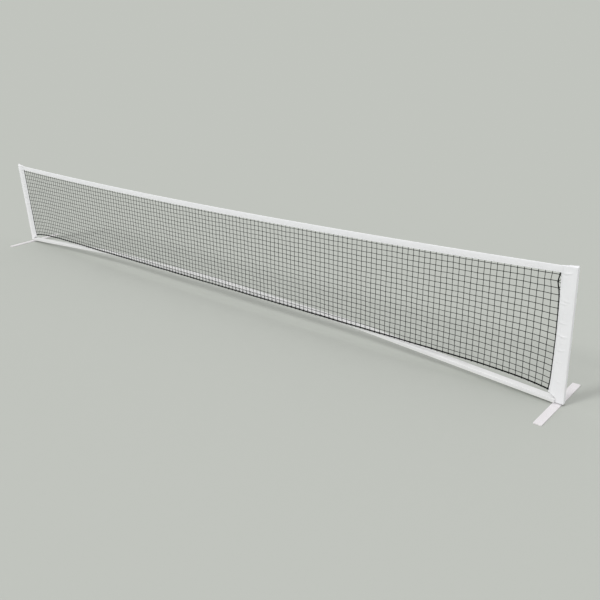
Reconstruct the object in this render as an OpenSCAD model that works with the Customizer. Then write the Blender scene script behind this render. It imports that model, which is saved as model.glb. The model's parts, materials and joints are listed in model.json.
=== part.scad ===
// Free-standing mini tennis net: an arched base of four plug-together
// rectangular tubes, two swivelling flat feet, two lift-out posts and a
// knotted net with a white headband and pocket sleeves over the posts.
// Millimetres. The origin is on the ground under the middle of the net,
// +X runs along the net, +Z is up.

/* [Frame] */
// Length between the outer faces of the two posts
frame_length = 6020; // [4600:10:7000]
// Width of the rectangular tube, across the net
tube_width = 50; // [44:1:60]
// Height of the rectangular tube
tube_height = 25; // [22:1:30]
// Wall of the rectangular tube
tube_wall = 1.5; // [1.2:0.1:2]
// Outside corner radius of the rectangular tube
tube_corner = 2.5; // [2.2:0.1:4]
// Plan length of each inner base section, from the middle joint
inner_length = 1500; // [1200:10:1700]
// Fall of the outer base sections, in degrees
end_slope = 3.9; // [2.5:0.1:5]
// Fall of the inner base sections, in degrees
middle_slope = 1.15; // [0.5:0.05:2]

/* [Feet] */
// Length of a foot bar
foot_length = 570; // [400:10:800]
// Width of a foot bar
foot_width = 50; // [46:1:60]
// Thickness of a foot bar
foot_thickness = 6; // [6:0.5:8]
// Corner radius of a foot bar
foot_corner = 4; // [1:0.5:10]
// Distance from a post's inner face out to the foot's screw
foot_setback = 15; // [12:1:38]
// Gap between a foot and the underside of the base tube's end
tube_lift = 4.4; // [3:0.1:8]
// Height of the threaded block welded inside a post socket
block_height = 8; // [6:1:10]
// Diameter of the foot screw
screw_diameter = 8; // [6:1:8]
// Diameter of the nylon washer between the block's neck and the foot
washer_diameter = 18; // [16:1:20]
// Thickness of the nylon washer
washer_thickness = 0.8; // [0.5:0.1:1.5]

/* [Posts] */
// Height of the top of a post tube above the ground
post_top = 839; // [700:1:950]
// Height of the top of a post socket above the ground
socket_top = 110; // [110:1:140]
// Gap under a post socket, measured from the top of the foot
socket_lift = 3; // [3:0.1:4]
// Thickness of the plate between the base tube's end and the socket
plate_thickness = 3; // [2:0.5:4]
// Length of the spigot inside the socket
spigot_plug = 80; // [50:1:80]
// Length of the spigot inside the post
spigot_hold = 100; // [85:1:150]
// Thickness of a plastic cap's flange on top of a post
cap_flange = 2.5; // [1.5:0.5:5]
// Depth of a plastic cap's skirt
cap_depth = 14; // [8:1:20]

/* [Base joints] */
// Length of a joiner tube
joiner_length = 200; // [180:1:260]
// Distance from a base joint to its snap button
button_reach = 60; // [50:1:80]
// Diameter of a snap button
button_diameter = 8; // [6:0.5:10]
// How far a snap button stands out of the tube
button_proud = 3.2; // [2:0.1:5]
// Diameter of a rivet
rivet_diameter = 4.8; // [4:0.4:6.4]
// Thickness of a snap spring's steel strip
spring_strip = 0.8; // [0.5:0.1:1]

/* [Net] */
// Distance from a post's inner face to the sewn inner edge of its sleeve
sleeve_web = 40; // [30:1:60]
// Thickness of the sleeve and headband cloth
cloth = 1.2; // [0.8:0.1:1.6]
// Fall of a sleeve's top edge from its outer corner down to the headband's end
corner_drop = 12.4; // [2:0.2:20]
// Sag of the headband at the middle of the net
band_sag = 45.6; // [0:0.2:80]
// Depth of the headband
band_depth = 45; // [40:1:60]
// Width of the tension tape inside the headband
tape_width = 25; // [15:1:28]
// Thickness of the tension tape
tape_thickness = 2.4; // [1.2:0.2:4]
// Number of net columns
net_columns = 48; // [20:1:50]
// Number of net rows
net_rows = 6; // [3:1:6]
// Thickness of the net's twine
twine = 3; // [2:0.2:4]
// Diameter of the cord along the bottom of the net
cord_diameter = 8; // [5:0.5:10]
// Height of the bottom cord's ends above the base tube
cord_lift = 37; // [24:1:50]
// Rise of the bottom cord from the sleeves to the middle of the net
cord_rise = 55; // [20:1:90]
// Gap between the bottom cord and the front of the base tube
cord_standoff = 2; // [1:0.5:10]
// Diameter of the cords down the two ends of the net
side_cord_diameter = 5; // [3:0.5:6]
// Height of a sleeve's hem above the base tube, at its inner edge
hem_inner = 22; // [15:1:30]
// Height of a sleeve's hem above the base tube, beside the post
hem_outer = 6; // [3:1:12]
// Height of a sleeve's hem above the lower end of the socket
hem_drop = 3; // [2:0.5:15]

/* [Fits] */
// Clearance per side between a tube and what slides in it
tube_fit = 0.1; // [0.05:0.05:0.3]
// Clearance per side round a screw, a button or a rivet
pin_fit = 0.08; // [0.02:0.01:0.1]
// Gap between pieces that lie against each other
seat_gap = 0.3; // [0.1:0.1:0.5]
// Clearance per side between a sleeve and its post
sleeve_fit = 0.4; // [0.3:0.1:1]

/* [Hidden] */
$fn = 48;

// Places along the frame
post_outer = frame_length / 2;
post_inner = post_outer - tube_width;
post_middle = post_outer - tube_width / 2;
foot_x = post_inner + foot_setback;
seam_x = post_inner - sleeve_web;

// Heights of the arched base's centre line
end_half = tube_height / 2 / cos(end_slope);
end_axis_z = foot_thickness + tube_lift + end_half;
kink_z = end_axis_z + (post_inner - inner_length) * tan(end_slope);
middle_z = kink_z + inner_length * tan(middle_slope);
function outer_axis(x) = end_axis_z + (post_inner - x) * tan(end_slope);
function base_top(x) = outer_axis(x) + end_half;

// Tube sections
insert_corner = tube_corner - tube_wall + 1;
weld_depth = tube_wall / 2;
weld_ledge = 1;
bore_width = tube_width - 2 * tube_wall;
bore_height = tube_height - 2 * tube_wall;
insert_width = bore_width - 2 * tube_fit;
insert_height = bore_height - 2 * tube_fit;
trim = 2 * tube_width;

// Snap buttons, in the tube's own frame, where the centre line is at 0
button_floor = -insert_height / 2 + tube_wall;
button_flange = 1;
button_flange_diameter = button_diameter + 3;
button_tip = -tube_height / 2 - button_proud;
spring_width = button_diameter + 2;
spring_length = 46;
spring_bend = 4;
button_hole = button_diameter + 2 * pin_fit;
rivet_hole = rivet_diameter + 2 * pin_fit;
rivet_head = 2 * rivet_diameter;
rivet_head_height = 1.3;
rivet_tail = 2;
rivet_places = [30, 72];

// Posts
socket_bottom = foot_thickness + socket_lift;
plug_flange = 1;
plug_depth = 6;
skirt_wall = 2;
spigot_bottom = socket_top - spigot_plug;
post_bottom = socket_top + seat_gap;
spigot_top = post_bottom + spigot_hold;
spigot_rivet_places = [30, 75];
cap_top = post_top + cap_flange;

// Foot screw, and the threaded block with its neck
neck_bottom = foot_thickness + washer_thickness + seat_gap;
neck_diameter = screw_diameter + 6;
block_bottom = socket_bottom + plug_depth + seat_gap;
block_top = block_bottom + block_height;
screw_head = 2 * screw_diameter;
screw_sink = 0.4;
screw_clear = 2 * pin_fit;

// Sleeves
sleeve_outer = post_outer + sleeve_fit + cloth;
sleeve_half = tube_height / 2 + sleeve_fit + cloth;
sleeve_bend = post_inner - 1;
top_slope = corner_drop / (sleeve_outer - seam_x);
sleeve_top = cap_top + seat_gap + cloth + top_slope * (sleeve_outer - post_inner);
seam_half = cloth + 0.1;
band_end = sleeve_top - corner_drop;
hem_low = socket_bottom + hem_drop;
pocket_start = seam_x + 3;
panel_rise = (sleeve_half - seam_half) / (sleeve_bend - seam_x);
panel_offset = cloth * sqrt(1 + panel_rise * panel_rise);
pocket_bend = seam_x + (sleeve_half - cloth - seam_half + panel_offset) / panel_rise;
hem_step = post_inner + weld_depth + seat_gap;

// Net
band_reach = seam_x - seat_gap;
band_gap = max(tape_thickness, twine) + 2 * seat_gap;
band_half = band_gap / 2 + cloth;
side_cord_x = seam_x - seat_gap - side_cord_diameter / 2;
mesh_reach = side_cord_x - side_cord_diameter / 2 - seat_gap - twine / 2;
cord_end = base_top(seam_x) + cord_lift;
net_bow = tube_width / 2 + cord_standoff + cord_diameter / 2;
cord_steepness = 12;
bow_steepness = 6;
cord_sides = 8;

function sleeve_edge(x) = band_end + top_slope * (x - seam_x);
function band_top(x) = band_end - band_sag * (1 - pow(x / seam_x, 2));
function cord_z(x) = cord_end + cord_rise * (1 - pow(x / seam_x, cord_steepness));
function cord_y(x) = -net_bow * (1 - pow(x / seam_x, bow_steepness));
function column_x(i) = mesh_reach * (2 * i / net_columns - 1);
columns = [for (i = [0 : net_columns]) column_x(i)];
band_stations = concat([-band_reach], columns, [band_reach]);

// ---- Shapes that repeat ----

// Rectangle with true arcs at its corners
module rounded_rectangle(width, height, radius) {
    square([width - 2 * radius, height], center = true);
    square([width, height - 2 * radius], center = true);
    for (x = [-1, 1])
        for (y = [-1, 1])
            translate([x * (width / 2 - radius), y * (height / 2 - radius)])
                circle(r = radius);
}

module tube_profile(width, height, wall, radius) {
    difference() {
        rounded_rectangle(width, height, radius);
        rounded_rectangle(width - 2 * wall, height - 2 * wall, radius - wall);
    }
}

// Tube along +X, centred on the X axis
module tube_along(start, end, width, height, wall, radius) {
    translate([start, 0, 0])
        rotate([90, 0, 90])
            linear_extrude(end - start)
                tube_profile(width, height, wall, radius);
}

// Everything between two upright planes
module between(start, end) {
    intersection() {
        children();
        translate([start, -trim, -trim])
            cube([end - start, 2 * trim, 4 * trim + socket_top]);
    }
}

module mirrored() {
    mirror([1, 0, 0]) children();
}

// Frame of the sloping outer section, with its origin at plan distance x
module on_outer(x) {
    translate([x, 0, outer_axis(x)])
        rotate([0, end_slope, 0])
            children();
}

// Frame of the sloping inner section, with its origin at plan distance x
module on_inner(x) {
    translate([x, 0, middle_z - x * tan(middle_slope)])
        rotate([0, middle_slope, 0])
            children();
}

// Tube standing at a post's place, with its wide side along the net
module upright_tube(bottom, top, width, height, radius) {
    translate([post_middle, 0, bottom])
        linear_extrude(top - bottom)
            tube_profile(width, height, tube_wall, radius);
}

// Pin through the lower wall of a section
module cross_hole(diameter) {
    translate([0, 0, -tube_height])
        cylinder(h = tube_height, d = diameter);
}

// ---- Arched base ----

// Plate that closes the base tube's end and carries the socket
module end_plate() {
    translate([post_inner - plate_thickness, 0, end_axis_z])
        rotate([90, 0, 90])
            linear_extrude(plate_thickness + weld_depth)
                rounded_rectangle(tube_width + 2 * weld_ledge, 2 * end_half + 2 * weld_ledge,
                                  tube_corner + weld_ledge);
}

module base_outer() {
    color("whitesmoke")
        difference() {
            union() {
                between(inner_length, post_inner - plate_thickness / 2)
                    on_outer(inner_length)
                        tube_along(-trim, frame_length / 2, tube_width, tube_height,
                                   tube_wall, tube_corner);
                end_plate();
                upright_tube(socket_bottom, socket_top, tube_width, tube_height, tube_corner);
            }
            on_outer(inner_length + button_reach)
                cross_hole(button_hole);
        }
}

module base_inner() {
    between(0, inner_length)
        on_inner(0)
            tube_along(-trim, inner_length + trim, tube_width, tube_height,
                       tube_wall, tube_corner);
}

module rivet_holes_inner(from, direction) {
    for (reach = rivet_places)
        on_inner(from + direction * reach)
            cross_hole(rivet_hole);
}

module base_inner_right() {
    color("whitesmoke")
        difference() {
            base_inner();
            rivet_holes_inner(inner_length, -1);
            on_inner(button_reach)
                cross_hole(button_hole);
        }
}

module base_inner_left() {
    color("whitesmoke")
        mirrored()
            difference() {
                base_inner();
                rivet_holes_inner(inner_length, -1);
                rivet_holes_inner(0, 1);
            }
}

module insert_tube(start, end) {
    tube_along(start, end, insert_width, insert_height, tube_wall, insert_corner);
}

// Joiner bent at the kink between an inner and an outer section
module side_joiner() {
    half = joiner_length / 2;
    color("gainsboro")
        difference() {
            union() {
                between(inner_length - half, inner_length)
                    on_inner(inner_length)
                        insert_tube(-2 * half, half);
                between(inner_length, inner_length + half)
                    on_outer(inner_length)
                        insert_tube(-half, 2 * half);
            }
            rivet_holes_inner(inner_length, -1);
            on_outer(inner_length + button_reach)
                cross_hole(button_hole);
        }
}

module joiner_centre() {
    half = joiner_length / 2;
    color("gainsboro")
        difference() {
            union() {
                between(0, half)
                    on_inner(0)
                        insert_tube(-half, 2 * half);
                mirrored()
                    between(0, half)
                        on_inner(0)
                            insert_tube(-half, 2 * half);
            }
            mirrored()
                rivet_holes_inner(0, 1);
            on_inner(button_reach)
                cross_hole(button_hole);
        }
}

// Blind rivet through the lower walls of a tube and its joiner
module blind_rivet() {
    outside = -tube_height / 2;
    inside = button_floor;
    translate([0, 0, outside])
        cylinder(h = inside - outside, d = rivet_diameter);
    translate([0, 0, outside - rivet_head_height])
        cylinder(h = rivet_head_height, d1 = 0.6 * rivet_head, d2 = rivet_head);
    translate([0, 0, inside])
        cylinder(h = rivet_tail, d = 1.35 * rivet_diameter);
}

module joiner_rivets() {
    color("silver") {
        for (reach = rivet_places) {
            on_inner(inner_length - reach)
                blind_rivet();
            mirrored()
                on_inner(inner_length - reach)
                    blind_rivet();
            mirrored()
                on_inner(reach)
                    blind_rivet();
        }
    }
}

// Round button with a stop flange and a domed tip, pointing down
module snap_button() {
    dome = button_diameter / 4;
    ball = (pow(button_diameter / 2, 2) + dome * dome) / (2 * dome);
    color("silver") {
        translate([0, 0, button_floor + pin_fit])
            cylinder(h = button_flange, d = button_flange_diameter);
        translate([0, 0, button_tip + dome])
            cylinder(h = button_floor + pin_fit - button_tip - dome, d = button_diameter);
        intersection() {
            translate([0, 0, button_tip + ball])
                sphere(r = ball);
            translate([0, 0, button_tip])
                cylinder(h = dome, d = button_diameter);
        }
    }
}

// Folded strip of spring steel: one leg on the button, one on the roof
module snap_spring() {
    low = button_floor + pin_fit + button_flange + seat_gap;
    roof = insert_height / 2 - tube_wall - seat_gap;
    bend_x = spring_bend - spring_length;
    bend_z = low + spring_bend;
    leg_start = bend_z + spring_bend - spring_strip;
    leg_rise = roof - spring_strip - leg_start;
    leg_length = spring_length - spring_bend + button_diameter / 2;
    leg_angle = atan(leg_rise / leg_length);
    color("darkgray")
        rotate([90, 0, 0])
            linear_extrude(spring_width, center = true) {
                translate([bend_x, low])
                    square([leg_length, spring_strip]);
                intersection() {
                    translate([bend_x, bend_z])
                        difference() {
                            circle(r = spring_bend);
                            circle(r = spring_bend - spring_strip);
                        }
                    translate([bend_x - 2 * spring_bend, low])
                        square([2 * spring_bend, 2 * spring_bend]);
                }
                translate([bend_x, leg_start])
                    rotate(leg_angle)
                        square([leg_length / cos(leg_angle), spring_strip]);
            }
}

// ---- Feet ----

// Threaded block across the inside of the socket, with a round neck that
// comes down through the plug to bear on the washer
module foot_boss() {
    color("whitesmoke")
        difference() {
            union() {
                translate([post_middle, 0, block_bottom])
                    linear_extrude(block_height)
                        rounded_rectangle(insert_width, insert_height, insert_corner);
                translate([foot_x, 0, neck_bottom])
                    cylinder(h = block_bottom + block_height / 2 - neck_bottom,
                             d = neck_diameter);
            }
            translate([foot_x, 0, 0])
                cylinder(h = socket_top, d = screw_diameter + screw_clear);
        }
}

module foot_screw() {
    cone = screw_head / 2 - screw_diameter / 2;
    color("silver")
        translate([foot_x, 0, screw_sink]) {
            cylinder(h = cone, d1 = screw_head, d2 = screw_diameter);
            translate([0, 0, cone])
                cylinder(h = block_top - screw_sink - cone, d = screw_diameter);
        }
}

module foot_washer() {
    color("ivory")
        translate([foot_x, 0, foot_thickness])
            difference() {
                cylinder(h = washer_thickness, d = washer_diameter);
                translate([0, 0, -1])
                    cylinder(h = washer_thickness + 2, d = screw_diameter + screw_clear);
            }
}

module foot() {
    cone = screw_head / 2 - screw_diameter / 2;
    color("snow")
        difference() {
            translate([foot_x, 0, 0])
                linear_extrude(foot_thickness)
                    rounded_rectangle(foot_width, foot_length, foot_corner);
            translate([foot_x, 0, -1])
                cylinder(h = foot_thickness + 2, d = screw_diameter + screw_clear);
            translate([foot_x, 0, -seat_gap])
                cylinder(h = cone + screw_sink + seat_gap,
                         d1 = screw_head + 2 * (screw_sink + seat_gap) + screw_clear,
                         d2 = screw_diameter + screw_clear);
        }
}

// ---- Posts ----

// Plastic insert: a flange the size of the tube and a hollow skirt inside it
module tube_insert(flange, depth) {
    linear_extrude(flange)
        rounded_rectangle(tube_width, tube_height, tube_corner);
    translate([0, 0, -depth])
        linear_extrude(depth)
            tube_profile(insert_width, insert_height, skirt_wall, skirt_wall + 0.5);
}

// Plug in the socket's lower end, pierced for the block's neck
module socket_plug() {
    color("dimgray")
        difference() {
            translate([post_middle, 0, socket_bottom])
                rotate([180, 0, 0])
                    tube_insert(plug_flange, plug_depth);
            translate([foot_x, 0, 0])
                cylinder(h = block_bottom, d = neck_diameter + 2 * seat_gap);
        }
}

module post_cap() {
    color("dimgray")
        translate([post_middle, 0, post_top])
            tube_insert(cap_flange, cap_depth);
}

module spigot_rivet_holes() {
    for (height = spigot_rivet_places)
        translate([post_inner - tube_wall, 0, post_bottom + height])
            rotate([0, 90, 0])
                cylinder(h = 4 * tube_wall, d = rivet_hole);
}

module post() {
    color("whitesmoke")
        difference() {
            upright_tube(post_bottom, post_top, tube_width, tube_height, tube_corner);
            spigot_rivet_holes();
        }
}

module spigot() {
    color("gainsboro")
        difference() {
            upright_tube(spigot_bottom, spigot_top, insert_width, insert_height,
                         insert_corner);
            spigot_rivet_holes();
        }
}

module spigot_rivets() {
    color("silver")
        for (height = spigot_rivet_places)
            translate([post_inner + tube_height / 2, 0, post_bottom + height])
                rotate([0, 90, 0])
                    blind_rivet();
}

// ---- Net ----

// Side view of a sleeve: top edge sloping from its outer corner to the headband,
// and a hem that clears the base tube and drops in front of the socket
module sleeve_side() {
    polygon([
        [seam_x - 1, sleeve_edge(seam_x - 1)],
        [sleeve_outer + 1, sleeve_edge(sleeve_outer + 1)],
        [sleeve_outer + 1, hem_low],
        [hem_step, hem_low],
        [hem_step, base_top(hem_step) + hem_outer],
        [seam_x - 1, base_top(seam_x) + hem_inner]
    ]);
}

module sleeve_section() {
    polygon([
        [seam_x, -seam_half], [sleeve_bend, -sleeve_half], [sleeve_outer, -sleeve_half],
        [sleeve_outer, sleeve_half], [sleeve_bend, sleeve_half], [seam_x, seam_half]
    ]);
}

module pocket_section() {
    start_half = seam_half + panel_rise * (pocket_start - seam_x) - panel_offset;
    pocket_half = sleeve_half - cloth;
    polygon([
        [pocket_start, -start_half], [pocket_bend, -pocket_half],
        [sleeve_outer - cloth, -pocket_half], [sleeve_outer - cloth, pocket_half],
        [pocket_bend, pocket_half], [pocket_start, start_half]
    ]);
}

module sleeve() {
    color("white")
        difference() {
            intersection() {
                linear_extrude(sleeve_top + 1)
                    sleeve_section();
                rotate([90, 0, 0])
                    linear_extrude(2 * tube_width, center = true)
                        sleeve_side();
            }
            intersection() {
                linear_extrude(sleeve_top + 1)
                    pocket_section();
                rotate([90, 0, 0])
                    linear_extrude(2 * tube_width, center = true)
                        polygon([
                            [seam_x - 1, 0],
                            [seam_x - 1, sleeve_edge(seam_x - 1) - cloth],
                            [sleeve_outer + 1, sleeve_edge(sleeve_outer + 1) - cloth],
                            [sleeve_outer + 1, 0]
                        ]);
            }
        }
}

// Strip that follows the sag of the headband, between two depths below its top
module sagging_strip(upper, lower, back, thickness) {
    translate([0, back, 0])
        rotate([90, 0, 0])
            linear_extrude(thickness)
                polygon(concat(
                    [for (x = band_stations) [x, band_top(x) - upper]],
                    [for (i = [len(band_stations) - 1 : -1 : 0])
                        [band_stations[i], band_top(band_stations[i]) - lower]]
                ));
}

// Cloth folded over the top of the net
module headband() {
    color("white") {
        sagging_strip(0, band_depth, band_half, cloth);
        sagging_strip(0, band_depth, -band_gap / 2, cloth);
        sagging_strip(0, cloth, band_gap / 2, band_gap);
    }
}

module head_tape() {
    start = cloth + seat_gap;
    color("gainsboro")
        sagging_strip(start, start + tape_width, tape_thickness / 2, tape_thickness);
}

// Top and bottom of the net at a column, to the middle of the twine
function mesh_top(x) = band_top(x) - cloth - tape_width - 2 * seat_gap - twine / 2;
function mesh_bottom(x) = cord_z(x) + cord_diameter / 2 + seat_gap + twine / 2;
function mesh_z(x, j) = mesh_bottom(x) + (mesh_top(x) - mesh_bottom(x)) * j / net_rows;

// The net bows with its bottom cord, up to the last row below the headband
function mesh_y(x, j) = cord_y(x) * (1 - min(j, net_rows - 1) / (net_rows - 1));

// Eight corners of each crossing, front four first
mesh_points = [
    for (j = [0 : net_rows])
        for (i = [0 : net_columns])
            for (y = [-1, 1])
                for (c = [[-1, -1], [1, -1], [1, 1], [-1, 1]])
                    [column_x(i) + c[0] * twine / 2,
                     mesh_y(column_x(i), j) + y * twine / 2,
                     mesh_z(column_x(i), j) + c[1] * twine / 2]
];
function corner(i, j, c) = 8 * (j * (net_columns + 1) + i) + c;
function crossing(i, j, list) = [for (c = list) corner(i, j, c)];
function across(i, j, a, b, c, d) =
    [corner(i, j, a), corner(i + 1, j, b), corner(i + 1, j, c), corner(i, j, d)];
function upward(i, j, a, b, c, d) =
    [corner(i, j, a), corner(i, j + 1, b), corner(i, j + 1, c), corner(i, j, d)];
mesh_quads = [
    for (j = [0 : net_rows])
        for (i = [0 : net_columns])
            each [crossing(i, j, [0, 3, 2, 1]), crossing(i, j, [4, 5, 6, 7])],
    for (j = [0 : net_rows])
        for (i = [0 : net_columns - 1])
            each [across(i, j, 2, 3, 0, 1), across(i, j, 5, 4, 7, 6),
                  across(i, j, 6, 7, 3, 2), across(i, j, 1, 0, 4, 5)],
    for (j = [0 : net_rows - 1])
        for (i = [0 : net_columns])
            each [upward(i, j, 3, 0, 1, 2), upward(i, j, 6, 5, 4, 7),
                  upward(i, j, 2, 1, 5, 6), upward(i, j, 7, 4, 0, 3)],
    for (j = [0 : net_rows])
        each [crossing(0, j, [0, 4, 7, 3]), crossing(net_columns, j, [1, 2, 6, 5])],
    for (i = [0 : net_columns])
        each [crossing(i, 0, [0, 1, 5, 4]), crossing(i, net_rows, [3, 7, 6, 2])]
];

// Net of square strands, hanging from the headband to the bottom cord
module net_mesh() {
    color("#202322")
        polyhedron(
            points = mesh_points,
            faces = [for (q = mesh_quads) each [[q[0], q[1], q[2]], [q[0], q[2], q[3]]]]
        );
}

// Bottom cord, swept along the same stations as the net's columns
cord_rings = len(band_stations);
cord_points = [
    for (x = band_stations)
        for (s = [0 : cord_sides - 1])
            [x, cord_y(x) + cord_diameter / 2 * cos(360 * s / cord_sides),
             cord_z(x) + cord_diameter / 2 * sin(360 * s / cord_sides)]
];
function ring_point(k, s) = k * cord_sides + s % cord_sides;

module bottom_cord() {
    color("#101211")
        polyhedron(
            points = cord_points,
            faces = [
                [for (s = [0 : cord_sides - 1]) s],
                [for (s = [cord_sides - 1 : -1 : 0]) ring_point(cord_rings - 1, s)],
                for (k = [0 : cord_rings - 2])
                    for (s = [0 : cord_sides - 1])
                        each [
                            [ring_point(k, s), ring_point(k + 1, s), ring_point(k + 1, s + 1)],
                            [ring_point(k, s), ring_point(k + 1, s + 1), ring_point(k, s + 1)]
                        ]
            ]
        );
}

module side_cord() {
    bottom = cord_z(mesh_reach) + cord_diameter / 2 + 2 * seat_gap;
    top = band_top(side_cord_x) - band_depth - seat_gap;
    color("#101211")
        translate([side_cord_x, 0, bottom])
            cylinder(h = top - bottom, d = side_cord_diameter);
}

mirrored() base_outer();  // base_outer_left
base_outer();  // base_outer_right
base_inner_left();
base_inner_right();
mirrored() side_joiner();  // joiner_left
joiner_centre();
side_joiner();  // joiner_right
joiner_rivets();
mirrored() on_outer(inner_length + button_reach) snap_button();  // snap_button_left
on_inner(button_reach) snap_button();  // snap_button_centre
on_outer(inner_length + button_reach) snap_button();  // snap_button_right
mirrored() on_outer(inner_length + button_reach) snap_spring();  // snap_spring_left
on_inner(button_reach) snap_spring();  // snap_spring_centre
on_outer(inner_length + button_reach) snap_spring();  // snap_spring_right
mirrored() foot_boss();  // foot_boss_left
foot_boss();  // foot_boss_right
mirrored() foot_screw();  // foot_screw_left
foot_screw();  // foot_screw_right
mirrored() foot_washer();  // foot_washer_left
foot_washer();  // foot_washer_right
mirrored() foot();  // foot_left
foot();  // foot_right
mirrored() socket_plug();  // socket_plug_left
socket_plug();  // socket_plug_right
mirrored() post();  // post_left
post();  // post_right
mirrored() spigot();  // spigot_left
spigot();  // spigot_right
mirrored() spigot_rivets();  // spigot_rivets_left
spigot_rivets();  // spigot_rivets_right
mirrored() post_cap();  // post_cap_left
post_cap();  // post_cap_right
mirrored() sleeve();  // sleeve_left
sleeve();  // sleeve_right
headband();
head_tape();
net_mesh();
bottom_cord();
mirrored() side_cord();  // side_cord_left
side_cord();  // side_cord_right
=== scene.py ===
import json
import math

import bpy
import numpy as np
from mathutils import Matrix, Vector


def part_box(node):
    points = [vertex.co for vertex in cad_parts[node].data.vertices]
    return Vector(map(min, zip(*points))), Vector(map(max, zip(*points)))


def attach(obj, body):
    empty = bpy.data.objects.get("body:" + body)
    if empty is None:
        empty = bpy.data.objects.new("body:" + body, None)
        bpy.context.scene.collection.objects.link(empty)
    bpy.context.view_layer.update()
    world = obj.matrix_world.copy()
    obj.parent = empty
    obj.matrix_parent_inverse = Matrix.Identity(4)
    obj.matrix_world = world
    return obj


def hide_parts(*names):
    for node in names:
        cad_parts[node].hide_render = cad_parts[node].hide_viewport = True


bl_info = {
    "name": "Mini Tennis Net",
    "version": (1, 0, 0),
    "blender": (4, 5, 0),
    "location": "3D View > Sidebar > Tennis Net",
    "description": "Cloth, twine and finishes for a free-standing mini tennis net",
    "category": "Object",
}

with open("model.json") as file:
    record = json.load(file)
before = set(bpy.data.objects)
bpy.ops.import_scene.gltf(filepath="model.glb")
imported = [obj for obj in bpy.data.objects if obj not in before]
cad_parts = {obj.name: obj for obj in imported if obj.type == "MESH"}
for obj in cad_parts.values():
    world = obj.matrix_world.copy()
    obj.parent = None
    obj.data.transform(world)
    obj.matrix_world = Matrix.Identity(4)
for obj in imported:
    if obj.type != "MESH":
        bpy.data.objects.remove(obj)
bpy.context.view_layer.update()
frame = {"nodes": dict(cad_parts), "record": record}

# Sizes of the solids that their boxes don't give, in metres
cad_strand_radius = 0.0015
cord_radius = 0.004
tube_half_height = 0.0125
plate_thickness = 0.003

# Places that the frame gives, in metres
sleeve_low, sleeve_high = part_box("sleeve_right")
cord_low, cord_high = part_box("bottom_cord")
side_low, side_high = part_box("side_cord_right")
post_low, post_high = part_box("post_right")
cap_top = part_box("post_cap_right")[1].z
seam_x = sleeve_low.x
side_x = (side_low.x + side_high.x) / 2
side_radius = (side_high.x - side_low.x) / 2
# Out to the middle of the net's outermost strand
mesh_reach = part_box("net_mesh")[1].x - cad_strand_radius
cord_end = cord_low.z + cord_radius
cord_rise = cord_high.z - cord_radius - cord_end
net_bow = -cord_low.y - cord_radius
joint_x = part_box("base_outer_right")[0].x
joint_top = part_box("base_outer_right")[1].z
CAD_NODES = sorted(frame["nodes"])


def read_points(mesh):
    points = np.empty(len(mesh.vertices) * 3)
    mesh.vertices.foreach_get("co", points)
    return points.reshape(-1, 3)


# The headband's depth and sag come from its node's middle and end
band_points = read_points(frame["nodes"]["headband"].data)
middle_points = band_points[abs(band_points[:, 0]) < abs(band_points[:, 0]).min() + 0.001]
band_depth = float(np.ptp(middle_points[:, 2]))
band_end = float(band_points[:, 2].max())
band_sag = band_end - float(middle_points[:, 2].max())

# The outer tubes fall at the angle that their snap button leans
end_slope = next(abs(math.asin(joint["axis"][0]))
                 for joint in frame["record"]["behaviour"]["joints"]
                 if joint["name"] == "button_right_press")

# Distance between rows of the net while it is still flat, in metres
ROW_PITCH = 0.036
# Height of the lowest row, and how much more the net's height is than its number of rows,
# both in rows
LOWEST_ROW = 0.83
SPARE_ROW = 0.15
# Radii of the cords' braids as drawn, worked out from their solids
BRAID_RADIUS = 1.12 * cord_radius
SIDE_BRAID_RADIUS = 0.8 * side_radius
# How far in from its end the net's edge follows the sleeve's seam
EDGE_REACH = 0.16
# How far into a sleeve the shift of its seam reaches
SEAM_REACH = 0.037
# The cloth over a post's cap begins here, a little before the post
CAP_START = post_low.x - 0.003
# The sleeve cloth's outer face lies this far inside the box of the sleeve's solid
COVER = 0.0003


def linear(hex_colour):
    """sRGB hex to the linear colour that shaders and lamps read."""
    parts = [int(hex_colour[i:i + 2], 16) / 255 for i in (0, 2, 4)]
    return [c / 12.92 if c <= 0.04045 else ((c + 0.055) / 1.055) ** 2.4 for c in parts] + [1.0]


# ---- The curves that the net hangs on ----

def band_top(x):
    return band_end - band_sag * (1 - (x / seam_x) ** 2)


def band_bottom(x):
    """The sewn lower edge draws up a little, and more towards the ends."""
    drawn, drawn_more = 0.0015, 0.0025
    return (band_top(x) - band_depth + drawn
            + drawn_more * np.clip(np.abs(x) / seam_x, 0, 1) ** 4)


def cord_z(x):
    return cord_end + cord_rise * (1 - (x / seam_x) ** 12)


def cord_y(x):
    return -net_bow * (1 - (x / seam_x) ** 6)


def base_top(x):
    """Top of the sloping outer tube of the base."""
    return joint_top - (x - joint_x) * math.tan(end_slope)


def edge_share(inward):
    """How fully a point this far in from the net's end follows the sleeve's seam."""
    return np.clip(1 - inward / EDGE_REACH, 0, 1) ** 2


def seam_shift(side, z):
    """How far a sleeve's inner seam lies towards its post: the bottom cord pulls the hem's
    corner towards the net, and on the right the middle of the seam bows the other way."""
    sizes = bpy.context.scene.cloth_sizes
    below_cord, pull_height = 0.015, 0.05
    bow_low, bow_height = 0.15, 0.65
    pulled = -sizes.corner_pull * np.exp(-((z - cord_end + below_cord) / pull_height) ** 2)
    bowed = sizes.seam_bow * np.sin(math.pi * np.clip((z - bow_low) / bow_height, 0, 1))
    return pulled + np.where(np.asarray(side) > 0, bowed, 0)


def slack(side, z):
    """How far the net's edge hangs off the right sleeve, where its lacing is loose."""
    loose = bpy.context.scene.net_sizes.loose_lacing
    loosest, spread = 0.740, 0.042
    return np.where(np.asarray(side) > 0, loose * np.exp(-((z - loosest) / spread) ** 2), 0)


# ---- Sizes and colours that a user would change ----

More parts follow.
